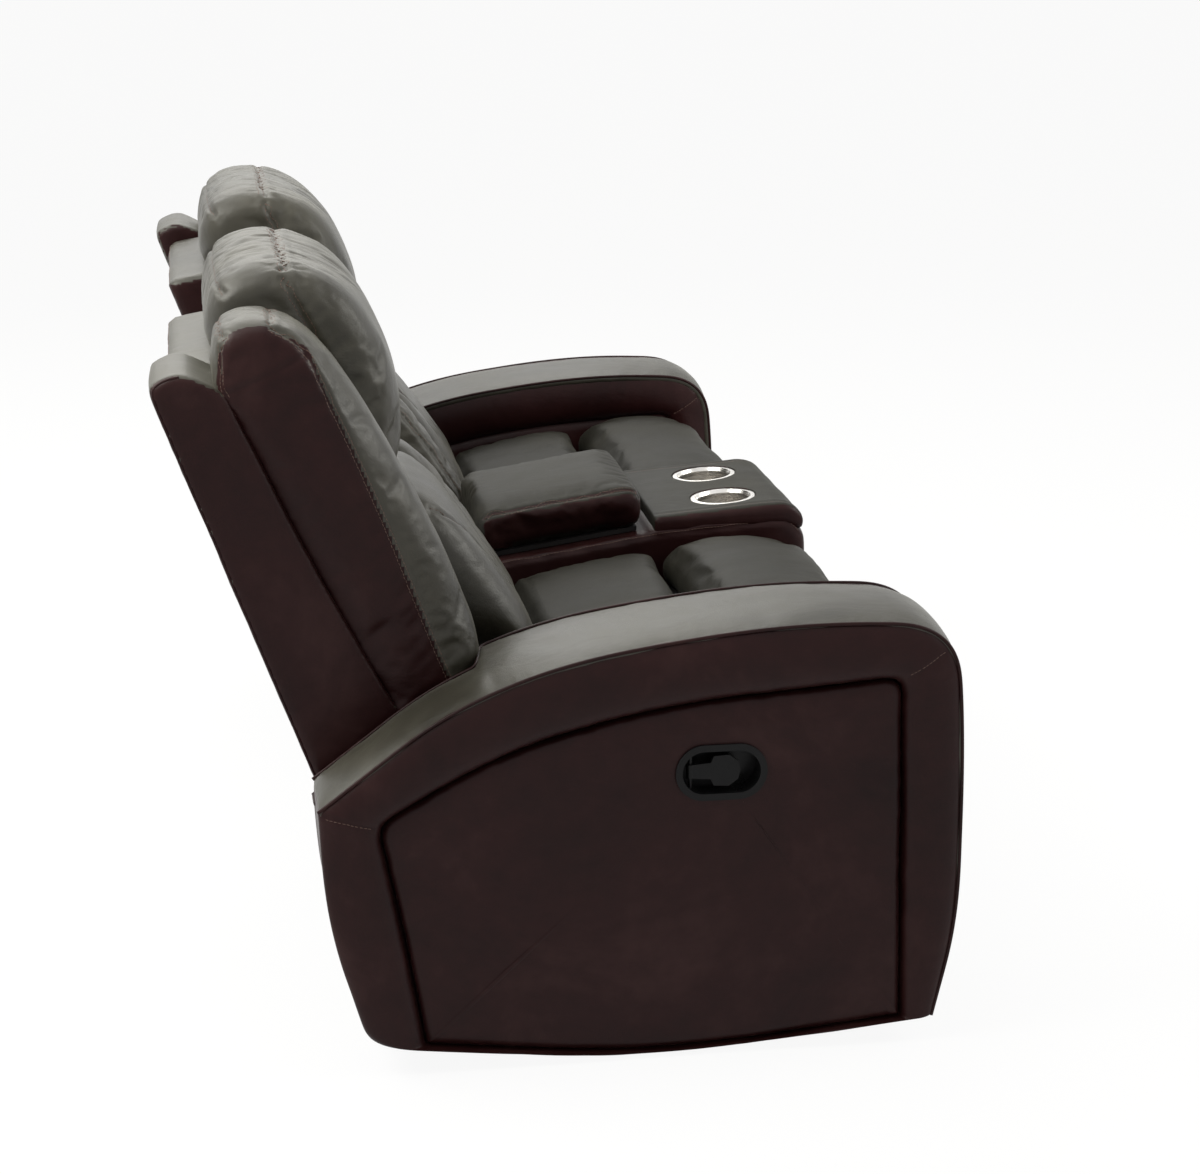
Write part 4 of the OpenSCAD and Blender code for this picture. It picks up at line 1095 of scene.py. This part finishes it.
# Faces turned up or to the rear get the leather with a painted sheen; faces turned sideways keep
# the plain dark leather.
two_tone(
    smooth(back_wing), SIDE_LEATHER, SHEEN_PAINTED_LEATHER,
    lambda at, out: (np.abs(out[:, 0]) < 0.6) & ((out[:, 1] > 0.5) | (out[:, 2] > 0.6)))
seat_it(back_wing, "back_wing", "back", 0.8)
piping_line = smooth_line(even(lay(back_wing, WING_SEAMS[0])[0], 150), 4)
seat_it(tube("wing_piping", piping_line, 0.0021, SIDE_LEATHER), "wing_piping", "back")
print("wing", len(back_wing.data.polygons), "faces")

# %% [markdown]
# The outer bolster is the piece nearest to the camera. Its side is a flat panel in the plain
# dark leather, and its front and top carry the leather with a painted sheen. A
# double-stitched seam runs down where that panel meets the soft front, and a small boxed
# panel caps its top. The seams are held while the cushion fills, so the leather puffs up
# on both sides of them.
# %% The outer bolster
BOLSTER_SIDE = [
    [REAR - 412, TAIL_Z + 95, 18], [REAR - 362, TAIL_Z + 87, 24, 0.5],
    *[[*p, 0.16] for p in reversed(wing_seam(-12))],
    [REAR - 78, BACK_H - 62, 22], [REAR - 140, BACK_H - 38, 40], [REAR - 215, BACK_H - 78, 50],
    [REAR - 282, BACK_H - 190, 60], [REAR - 352, BACK_H - 328, 70],
    [REAR - 424, TAIL_Z + 153, 40]]
FRONT_SEAM = np.array([
    (357, 975), (332, 955), (318, 930), (300, 878), (262, 790), (222, 690), (186, 590),
    (160, 520), (138, 466)], float)
CAP_SEAM = [(432, 958), (440, 930), (430, 884), (420, 868)]
CAP_LOW = [(420, 876), (395, 886), (362, 900), (318, 925)]


def along_x(x0, x1, y, z, count=40):
    x = np.linspace(x0, x1, count)
    return np.column_stack([x, np.full(count, y), np.full(count, z)]) / 1000


front_line = ring(WING_X1 - 5, smooth_line(even(FRONT_SEAM, 80), 6))
cap_line, cap_low = ring(WING_X1 - 5, even(CAP_SEAM, 24)), ring(WING_X1 - 3, even(CAP_LOW, 30))
cap_across, cap_rear = (
    along_x(WING_X0 + 30, WING_X1 - 12, y, z) for y, z in ((357, 985), (441, 957)))
outer_bolster = cushion(
    "outer_bolster", BOLSTER_SIDE, WING_X0 + 10, WING_X1 - 1, (20, 3, 0, 4), BOLSTER_CELL,
    10, [front_line, cap_line, cap_across, cap_rear], 0.012, (2.4, 0.085, 41))
sew(outer_bolster, [front_line], 2.8, 3.2, 1.6, 0.06, 0.024, 43, 0.8)
sew(outer_bolster, [cap_line, cap_low, cap_across, cap_rear], 2.0, 2.8, 1.1, 0.04, 0.024, 44, 0.6)
fence(outer_bolster, WING_X0 + 4, WING_X1 + 2)
seam_by_height = FRONT_SEAM[::-1]


def on_side_panel(at, out):
    behind = at[:, 1] > np.interp(at[:, 2], seam_by_height[:, 1], seam_by_height[:, 0])
    return (at[:, 0] > WING_X1 - 16) & (out[:, 0] > 0.45) & behind


# The front and top get the leather with a painted sheen; the side panel keeps the plain dark
# leather.
two_tone(smooth(outer_bolster), SHEEN_PAINTED_LEATHER, SIDE_LEATHER, on_side_panel)
seat_it(outer_bolster, "outer_bolster", "back", 0.6)
sewn_on(
    "outer_bolster_stitching", "back", outer_bolster, [front_line, cap_across], -0.0042, 0.0042)
sewn_on("bolster_cap_stitching", "back", outer_bolster, [cap_line, cap_rear], -0.003, 0.003)
print("outer bolster", len(outer_bolster.data.polygons), "faces")

# %% [markdown]
# The head pillow is the softest piece. One double seam runs along its crest and down its
# ends, another along its rear, and the leather is gathered into both, so short folds run
# forwards and backwards from the stitching.
# %% The head pillow
HEAD_SIDE = [
    [REAR - 339, WAIST + 4, 26], [*lean(WAIST + 12), 16], [*lean(BACK_H - 144), 14],
    [REAR - 65, BACK_H - 86, 30], [REAR - 83, BACK_H - 12, 40], [REAR - 187, BACK_H + 8.5, 60],
    [REAR - 275, BACK_H - 41, 55], [REAR - 327, BACK_H - 154, 60], [REAR - 335, BACK_H - 246, 50]]
HEAD_X0, HEAD_X1 = BACK_X0 + 8, WING_X0 + 8
CREST = along_x(HEAD_X0 + 14, HEAD_X1 - 14, REAR - 184, BACK_H + 20, 60)
HEAD_REAR = along_x(HEAD_X0 + 16, HEAD_X1 - 16, REAR - 88, BACK_H - 36, 60)
HEAD_END = [(REAR - back, BACK_H - down) for back, down in (
    (182, 12), (190, 48), (205, 80), (222, 113), (246, 161), (276, 230), (300, 290))]
HEAD_ENDS = [ring(x, even(HEAD_END, 50)) for x in (HEAD_X1, HEAD_X0)]
head_cushion = cushion(
    "head_cushion", HEAD_SIDE, HEAD_X0, HEAD_X1, (32, 3, 3, 7), BACK_CELL,
    15, [CREST, HEAD_REAR, *HEAD_ENDS], 0.022, (2.2, 0.13, 51))
sew(head_cushion, [CREST], 3.4, 3.4, 2.7, 0.074, 0.0155, 53, 1.0)
sew(head_cushion, HEAD_ENDS, 3.0, 3.4, 1.9, 0.060, 0.019, 55, 0.8)
sew(head_cushion, [HEAD_REAR], 2.4, 3.0, 2.2, 0.045, 0.019, 57, 0.8)
fence(head_cushion, HEAD_X0 - 5, HEAD_X1 + 5, ((0, 0, 1), BACK_H + 12))
# The pillow gets the leather whose colour is a painted sheen.
dress(smooth(head_cushion), SHEEN_PAINTED_LEATHER)
seat_it(head_cushion, "head_cushion", "back", 0.7)
sewn_on("head_cushion_stitching", "back", head_cushion, [CREST, *HEAD_ENDS], -0.0042, 0.0042)
sewn_on("head_rear_stitching", "back", head_cushion, [HEAD_REAR], -0.003)
print("head pillow", len(head_cushion.data.polygons), "faces")

# %% [markdown]
# The lumbar cushion is cut in three: two curved seams run from its upper corners and close
# in towards the seat.
# %% The lumbar cushion
LUMBAR_SIDE = [
    [REAR - 527, SEAT_H - 83, 18], [*lean(SEAT_H - 69), 16], [*lean(WAIST - 2), 12],
    [REAR - 357, WAIST + 1, 24], [REAR - 411, WAIST - 48, 40], [REAR - 475, SEAT_H + 33, 60],
    [REAR - 515, SEAT_H - 27, 40]]
LUMBAR_X0, LUMBAR_X1 = BACK_X0 + 113, WING_X0 + 8


def face_curve(points, count=50):
    """A curve on a cushion's front, given as [x, z], drawn well in front of it."""
    curve = even(soft_path([[x, z, 60] for x, z in points], 10), count)
    front = np.interp(
        curve[:, 1], [SEAT_H - 83, SEAT_H + 33, WAIST - 48, WAIST],
        [REAR - 530, REAR - 478, REAR - 414, REAR - 362])
    return np.column_stack([curve[:, 0], front, curve[:, 1]]) / 1000


LUMBAR_SEAMS = [
    face_curve([(start + way * x, z) for x, z in (
        (16, WAIST - 18), (84, WAIST - 70), (128, SEAT_H + 30), (138, SEAT_H - 70))])
    for start, way in ((LUMBAR_X1, -1), (LUMBAR_X0, 1))]
lumbar_cushion = cushion(
    "lumbar_cushion", LUMBAR_SIDE, LUMBAR_X0, LUMBAR_X1, (20, 4, 2, 6), BACK_CELL,
    11, LUMBAR_SEAMS, 0.004, (2.6, 0.12, 61))
sew(lumbar_cushion, LUMBAR_SEAMS, 3.2, 3.6, 1.3, 0.05, 0.034, 63, 1.0)
fence(lumbar_cushion, LUMBAR_X0 - 3, LUMBAR_X1 + 3, ((0, 0, -1), -(SEAT_H - 84)))
# The cushion gets the leather whose colour is a painted sheen.
dress(smooth(lumbar_cushion), SHEEN_PAINTED_LEATHER)
seat_it(lumbar_cushion, "lumbar_cushion", "back", 0.6)
sewn_on("lumbar_stitching", "back", lumbar_cushion, LUMBAR_SEAMS, 0.0034)
print("lumbar cushion", len(lumbar_cushion.data.polygons), "faces")

# %% [markdown]
# The inner bolster beside the console is a plain tall pad with one seam where each of its
# sides meets its front.
# %% The inner bolster
INNER_SIDE = [
    [REAR - 515, SEAT_H - 81, 16], [*lean(SEAT_H - 67), 16], [*lean(WAIST - 2), 12],
    [REAR - 345, WAIST, 24], [REAR - 397, WAIST - 40, 40], [REAR - 463, SEAT_H + 43, 60],
    [REAR - 501, SEAT_H - 17, 40]]
INNER_FRONT = even([
    (REAR - 340, WAIST - 4), (REAR - 388, WAIST - 44), (REAR - 452, SEAT_H + 43),
    (REAR - 490, SEAT_H - 20), (REAR - 500, SEAT_H - 70)], 50)
INNER_SEAMS = [ring(BACK_X0 + x, INNER_FRONT) for x in (6, 106)]
inner_bolster = cushion(
    "inner_bolster", INNER_SIDE, BACK_X0, BACK_X0 + 112, (18, 2, 1, 5), BACK_CELL,
    11, INNER_SEAMS, 0.02, (2.6, 0.08, 71))
sew(inner_bolster, INNER_SEAMS, 2.4, 3.0, 1.5, 0.04, 0.024, 73, 0.6)
fence(inner_bolster, BACK_X0 - 0.8, BACK_X0 + 115, ((0, 0, -1), -(SEAT_H - 82)))
# The bolster gets the leather whose colour is a painted sheen.
dress(smooth(inner_bolster), SHEEN_PAINTED_LEATHER)
seat_it(inner_bolster, "inner_bolster", "back", 0.6)
sewn_on("inner_bolster_stitching", "back", inner_bolster, INNER_SEAMS[:1], 0.0034)
print("inner bolster", len(inner_bolster.data.polygons), "faces")

# %% [markdown]
# Each seat is two pads: a seat cushion whose rear part runs low under the lumbar cushion,
# and a fuller front pad that ends over the footrest. A sewn line runs near each side, where
# the top panel meets the boxing.
# %% Seat cushion and front pad
SEAT_X0, SEAT_X1 = CON_X + 5, IN_X - 5
SEAT_SIDE = [
    [FRONT + 266, 390, 12], [REAR - 397, 380, 16], [REAR - 397, SEAT_H - 98, 14],
    [REAR - 532, SEAT_H - 92, 8], [REAR - 538, SEAT_H - 68, 18], [REAR - 640, SEAT_H - 44, 60],
    [FRONT + 290, SEAT_H - 33, 26], [FRONT + 266, SEAT_H - 54, 16]]
THIGH_SIDE = [
    [FRONT + 20, 442, 18], [FRONT + 270, 437, 12], [FRONT + 274, 488, 18],
    [FRONT + 216, 513, 46], [FRONT + 104, 514, 50], [FRONT + 22, 484, 44]]


def top_line(side, y0, y1, count=70):
    """The upper line of an outline between two places along Y."""
    outline = soft(side, 10)
    upper = outline[outline[:, 1] > outline.mean(0)[1]]
    upper = upper[np.argsort(upper[:, 0])]
    y = np.linspace(y0, y1, count)
    return np.stack([y, np.interp(y, upper[:, 0], upper[:, 1])], 1)


def side_seams(line, raised, *places):
    """The same seam on each side of a cushion, drawn raised above its outline."""
    return [ring(x, line + [0, raised]) for x in places]


def seat_pad(part, outline, y0, y1, raised, cap, hollows, seed, padding, *planes):
    """One pad of the seat. Its seams run from y0 to y1 near both sides of its top."""
    seams = side_seams(top_line(outline, y0, y1), raised, SEAT_X0 + 26, SEAT_X1 - 26)
    pad = cushion(
        part, outline, SEAT_X0, SEAT_X1, (12, 4, 0.5, 2), SEAT_CELL, cap, seams, 0.02, hollows)
    sew(pad, seams, 2.4, 3.2, 1.1, 0.045, 0.030, seed, 0.6)
    fence(pad, SEAT_X0 - 2.5, SEAT_X1 + 2.5, *planes)
    # The pads get the leather with a painted sheen darkened as painted shade.
    seat_it(dress(smooth(pad), SHADED_SHEEN_LEATHER), part, "base", padding)
    sewn_on(part.split("_")[0] + "_stitching", "base", pad, seams, 0.003)
    print(part, len(pad.data.polygons), "faces")


seat_pad(
    "seat_cushion", SEAT_SIDE, FRONT + 282, REAR - 545, 8, 11, (3.4, 0.11, 81), 83, 0.7,
    ((0, -1, 0), -(FRONT + 269.5)), ((0, 0, -1), -389.6), ((0, 1, 0), REAR - 396))
seat_pad(
    "thigh_pad", THIGH_SIDE, FRONT + 60, REAR - 792, 10, 12, (3.4, 0.12, 85), 87, 0.75,
    ((0, 1, 0), FRONT + 268.6), ((0, 0, -1), -435.5))

# %% [markdown]
# The footrest pad hangs below the front pad until the footrest opens. Its flat rear side
# lies on a board, and one seam across its middle draws it in.
# %% The footrest pad
BOARD_Y = FRONT + 75 - 16.3
FOOTREST_SIDE = [
    [BOARD_Y - 42, 90, 24, 0.6], [BOARD_Y, 90, 6, 0], [BOARD_Y, 430, 6, 0],
    [BOARD_Y - 40, 431, 26, 0.6], [BOARD_Y - 50, 262, 90]]
FOOT_MIDDLE = [along_x(SEAT_X0 + 10, SEAT_X1 - 10, BOARD_Y - 60, 262, 60)]
footrest_pad = cushion(
    "footrest_pad", FOOTREST_SIDE, SEAT_X0 + 1, SEAT_X1 - 1, (14, 3, 0), SEAT_CELL,
    10, FOOT_MIDDLE, 0.02, (2.4, 0.11, 91))
sew(footrest_pad, FOOT_MIDDLE, 3.4, 4.0, 1.8, 0.045, 0.024, 93, 0.8)
fence(footrest_pad, SEAT_X0 - 1, SEAT_X1 + 1,
    ((0, 1, 0), BOARD_Y), ((0, 0, 1), 436), ((0, 0, -1), -86))
# The pad gets the leather with a painted sheen darkened as painted shade.
dress(smooth(footrest_pad), SHADED_SHEEN_LEATHER)
seat_it(footrest_pad, "footrest_pad", "footrest", 0.7)
sewn_on("footrest_stitching", "footrest", footrest_pad, FOOT_MIDDLE, -0.0036, 0.0036)
print("footrest pad", len(footrest_pad.data.polygons), "faces")

# %% [markdown]
# Zigzag springs carry the seat. Each is one wire bent from side to side, so a circle is
# extruded along its bends.
# %% Zigzag springs
BENDS, SWING, SPRING_Z = 9, 24, 378.3


def spring_wire(x):
    y0, y1 = FRONT + 269.3, REAR - 408
    step = (y1 - y0) / BENDS
    bends = [[x + (SWING if i % 2 == 0 else -SWING), y0 + step * (i + t), 9]
        for i in range(BENDS) for t in (0.22, 0.78)]
    path = even(soft_path([[x, y0, 0], *bends, [x, y1, 0]], 4), 190)
    return np.column_stack([path, np.full(len(path), SPRING_Z)]) / 1000


for number, x in enumerate((CON_X + 125, (CON_X + IN_X) / 2, IN_X - 125), 1):
    seat_it(
        tube("spring", spring_wire(x), 0.002, SPRING_WIRE), "spring_" + str(number), "base",
        replaced="seat_springs" if number == 1 else "")
print("springs:", number, "on each seat")

# %% [markdown]
# The console is a padded case with a bin and two cup wells. Its side is one puffed panel.
# The wells and the bin are cut out with booleans, because they are true holes in a finished
# skin, and the cut edge is hidden by the liner and by the cups' flanges. Two small
# knuckles behind the bin carry the lid's hinge.
# %% The console's case and its hinge knuckles
CUP_X, CUP_Y, CUP_Z, CUP_TILT = 80.5, FRONT + 147, 543.0, math.radians(4.4)
CUP_WELL, FLANGE_BED = (44, -82, 60), (53.3, -0.8, 60)
BIN_FROM, BIN_TO, DECK_END = (-128.3, -215.3, 299.6), (128.3, 31.3, 800), -237


def rim_z(y):
    return 512 - (y + 231) * 0.151


def take_new():
    """The primitive just added, with its turn and scale in its mesh."""
    bpy.ops.object.transform_apply(location=True, rotation=True, scale=True)
    return bpy.context.object


def cutter_box(lo, hi):
    deselect()
    lo, hi = np.array(lo) / 1000, np.array(hi) / 1000
    bpy.ops.mesh.primitive_cube_add(size=1, location=tuple((lo + hi) / 2))
    bpy.context.object.scale = tuple(hi - lo)
    return take_new()


def cutter_cup(side, radius, low, high):
    deselect()
    axis = Vector((0, math.sin(CUP_TILT), math.cos(CUP_TILT)))
    middle = Vector((side * CUP_X, CUP_Y, CUP_Z)) / 1000 + axis * (low + high) / 2000
    bpy.ops.mesh.primitive_cylinder_add(
        vertices=72, radius=radius / 1000, depth=(high - low) / 1000, location=middle,
        rotation=(-CUP_TILT, 0, 0))
    return take_new()


def cut(piece, block):
    apply_modifier(piece, "BOOLEAN", operation="DIFFERENCE", solver="EXACT", object=block)
    bpy.data.objects.remove(block)


CASE_SIDE = [
    [FRONT + 45, 65.5, 16], [REAR - 310, 65.5, 6], [REAR - 310, rim_z(REAR - 310), 8, 0.2],
    [DECK_END, rim_z(DECK_END), 4, 0.2], [DECK_END, 520, 0, 0.3], [FRONT + 60, 533, 20, 0.3],
    [FRONT + 30, 504, 16, 0.4], [FRONT + 22, 300, 120, 0.6]]
console_case = net(through_rings(
    "console_case_cover", padded_rings(CASE_SIDE, -CON_X, CON_X, 14, 0, -2.5)), 0.009, 4)
settle(divide(console_case), 2.2, 0.12, 101)
case_top = even(soft_path([
    [REAR - 312, rim_z(REAR - 312) - 7, 0], [DECK_END, rim_z(DECK_END) - 6, 30],
    [FRONT + 62, 524.5, 20], [FRONT + 40, 500, 20]], 8), 90)
CASE_SEAMS = side_seams(case_top, 0, CON_X + 1, -CON_X - 1)
sew(console_case, CASE_SEAMS, 1.5, 2.6, 0.9, 0.04, 0.030, 103, 0.5)
fence(console_case, -CON_X - 2.2, CON_X + 2.2)
cut(console_case, cutter_box(BIN_FROM, BIN_TO))
for side in (-1, 1):
    cut(console_case, cutter_cup(side, *CUP_WELL))
dress(smooth(console_case, 40), SIDE_LEATHER)
set_alone(console_case, "base", "console_case")
set_alone(stitches("console_case_stitching", console_case, CASE_SEAMS, (0.003,)), "base")

for side, u in (("right", -1), ("left", 1)):
    deselect()
    bpy.ops.mesh.primitive_cube_add(size=1, location=(u * 0.111, 0.056, rim_z(56) / 1000 - 0.003))
    bpy.context.object.scale = (0.012, 0.02, 0.022)
    knuckle = apply_modifier(take_new(), "BEVEL", width=0.005, segments=4)
    knuckle.name = knuckle.data.name = "hinge_knuckle_" + side
    dress(smooth(knuckle, 40), BLACK_PLASTIC)
    set_alone(knuckle, "base")
print("console case", len(console_case.data.polygons), "faces")

# %% [markdown]
# The deck over the cups is a thin pad with a rolled edge. Round each cup it is sunk by the
# flange's thickness.
# %% The console's deck
DECK_SIDE = [
    [FRONT + 37, 504, 10, 0.2], [FRONT + 61, 519, 20, 0], [DECK_END, 507, 0, 0],
    [DECK_END, 536, 6, 0.3], [FRONT + 165, 545, 60], [FRONT + 57, 553, 26],
    [FRONT + 31, 528, 16, 0.5]]
console_deck = net(through_rings("console_deck_cover", padded_rings(
    DECK_SIDE, -CON_X + 0.4, CON_X - 0.4, 8, 0, 0, 0.4, 10)), 0.0045, 3)
settle(console_deck, 1.2, 0.08, 107)
DECK_SEAMS = side_seams(top_line(DECK_SIDE, FRONT + 50, -242), 3, CON_X - 22, -CON_X + 22)
sew(console_deck, DECK_SEAMS, 1.4, 2.6, 0.8, 0.03, 0.02, 109, 0.4)
for side in (-1, 1):
    cut(console_deck, cutter_cup(side, *CUP_WELL))
    cut(console_deck, cutter_cup(side, *FLANGE_BED))
# The top gets the leather with a painted sheen darkened as painted shade; faces turned sideways
# keep the plain dark leather.
two_tone(
    smooth(console_deck, 40), SHADED_SHEEN_LEATHER, SIDE_LEATHER,
    lambda at, out: np.abs(out[:, 0]) > 0.5)
set_alone(console_deck, "base", "console_deck")
set_alone(stitches("console_deck_stitching", console_deck, DECK_SEAMS, (0.0026,)), "base")

print("deck", len(console_deck.data.polygons), "faces")

# %% [markdown]
# The lid is a loose-looking pad on a board: a soft top panel, sewn to a boxing along each
# side, with puckers where the seam turns over the front.
# %% The console's lid
LID_X = CON_X - 6
LID_SIDE = [
    [-227, rim_z(-227) + 3, 12], [44, rim_z(44) + 3, 10], [44, rim_z(44) + 78, 24],
    [-91, 572, 80], [-217, 590, 26], [-231, 550, 26]]
LID_SEAMS = side_seams(top_line(LID_SIDE, -222, 38), 6, LID_X - 12, -LID_X + 12)
LID_FRONT = [along_x(-LID_X + 10, LID_X - 10, -228, 575, 50)]
console_lid = cushion(
    "console_lid_cover", LID_SIDE, -LID_X, LID_X, (14, 3, 2, 4.5), 0.007,
    9, LID_SEAMS + LID_FRONT, 0.012, (1.8, 0.10, 111))
sew(console_lid, LID_SEAMS, 2.2, 3.0, 1.1, 0.04, 0.021, 113, 0.5)
sew(console_lid, LID_FRONT, 2.0, 3.0, 1.2, 0.03, 0.022, 115, 0.5)
fence(console_lid, -LID_X - 2, LID_X + 2,
    ((0, 1, 0), 45.5), ((0, -1, 0), 234), ((0, -0.151, -1), -(rim_z(0) + 2.4)))
# The top gets the leather with a painted sheen darkened as painted shade; the sides and front keep
# the plain dark leather.
two_tone(
    smooth(console_lid), SHADED_SHEEN_LEATHER, SIDE_LEATHER,
    lambda at, out: (np.abs(out[:, 0]) > 0.66) | (out[:, 1] < -0.75))
set_alone(console_lid, "lid", "console_lid")
set_alone(stitches("console_lid_stitching", console_lid, LID_SEAMS, (-0.003, 0.003)), "lid")
print("lid", len(console_lid.data.polygons), "faces")

# %% [markdown]
# Under and behind the seats there is a leather-covered rear panel and a sheet of black
# dust cloth. The cloth is thin, so it is one flat net with a small sag and real thickness.
# %% Rear panel and dust cloth
PANEL_SIDE = [
    [REAR - 307, 45, 4], [REAR - 293, 45, 4], [REAR - 293, 140, 5], [REAR - 307, 140, 5]]
rear_panel = net(through_rings("rear_panel_cover", padded_rings(
    PANEL_SIDE, -IN_X + 0.3, IN_X - 0.3, 3, 0, 0, 0, 4)), 0.006, 2)
settle(rear_panel, 1.4, 0.14, 121)
dress(smooth(rear_panel), SIDE_LEATHER)
set_alone(rear_panel, "base", "rear_panel")

deselect()
SHEET_X, SHEET_Y0, SHEET_Y1 = IN_X - 0.3, FRONT + 95, FRONT + 95 + DEPTH - 415
bpy.ops.mesh.primitive_grid_add(x_subdivisions=90, y_subdivisions=38, size=1)
dust_cover = bpy.context.object
dust_cover.name = dust_cover.data.name = "dust_cover_cloth"
grid = points_of(dust_cover)
hang = np.clip(np.cos(grid[:, 0] * math.pi) * np.cos(grid[:, 1] * math.pi), 0, 1)
grid[:, 0] *= 2 * SHEET_X / 1000
grid[:, 1] = (SHEET_Y0 + SHEET_Y1) / 2000 + grid[:, 1] * (SHEET_Y1 - SHEET_Y0) / 1000
grid[:, 2] = 0.0386 - 0.004 * hang + 0.0006 * wave(grid, 0.06, 9) * np.clip(hang * 4, 0, 1)
move_points(dust_cover, grid)
apply_modifier(dust_cover, "SOLIDIFY", thickness=0.0008, offset=0)
dress(smooth(dust_cover, 60), DUST_CLOTH)
set_alone(dust_cover, "base", "dust_cover")
print("dust cloth", round(2 * SHEET_X), "x", round(SHEET_Y1 - SHEET_Y0), "mm")

# %% [markdown]
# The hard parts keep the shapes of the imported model. Only their finishes are set here, by
# putting a material in each object's slot.
# %% Finishes of the hard parts
MADE_OF = {
    PLYWOOD: ["arm_frame"], BLACK_BOARD: ["seat_frame", "footrest_board", "lid_board"],
    BLACK_PLASTIC: ["handle_bezel", "handle_paddle"], LINER_PLASTIC: ["console_liner"],
    FOOT_PLASTIC: ["feet"], BARE_STEEL: ["lower_links", "upper_links"],
    LACQUERED: ["mechanism_plates", "lower_control_links", "board_control_links",
        "back_frame", "base_tubes"],
    cup_finish("right_cup_steel", (-CUP_X / 1000, CUP_Y / 1000, 0)): ["right_cup_holder"],
    cup_finish("left_cup_steel", (CUP_X / 1000, CUP_Y / 1000, 0)): ["left_cup_holder"]}
FINISHES = {kind: finish for finish, kinds in MADE_OF.items() for kind in kinds}
dressed = 0
for name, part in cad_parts.items():
    kind = name if name in FINISHES else name.split("_", 1)[1]
    if kind in FINISHES:
        for place in part.material_slots:
            place.material = FINISHES[kind]
        dressed += 1
print("hard parts with a finish:", dressed)
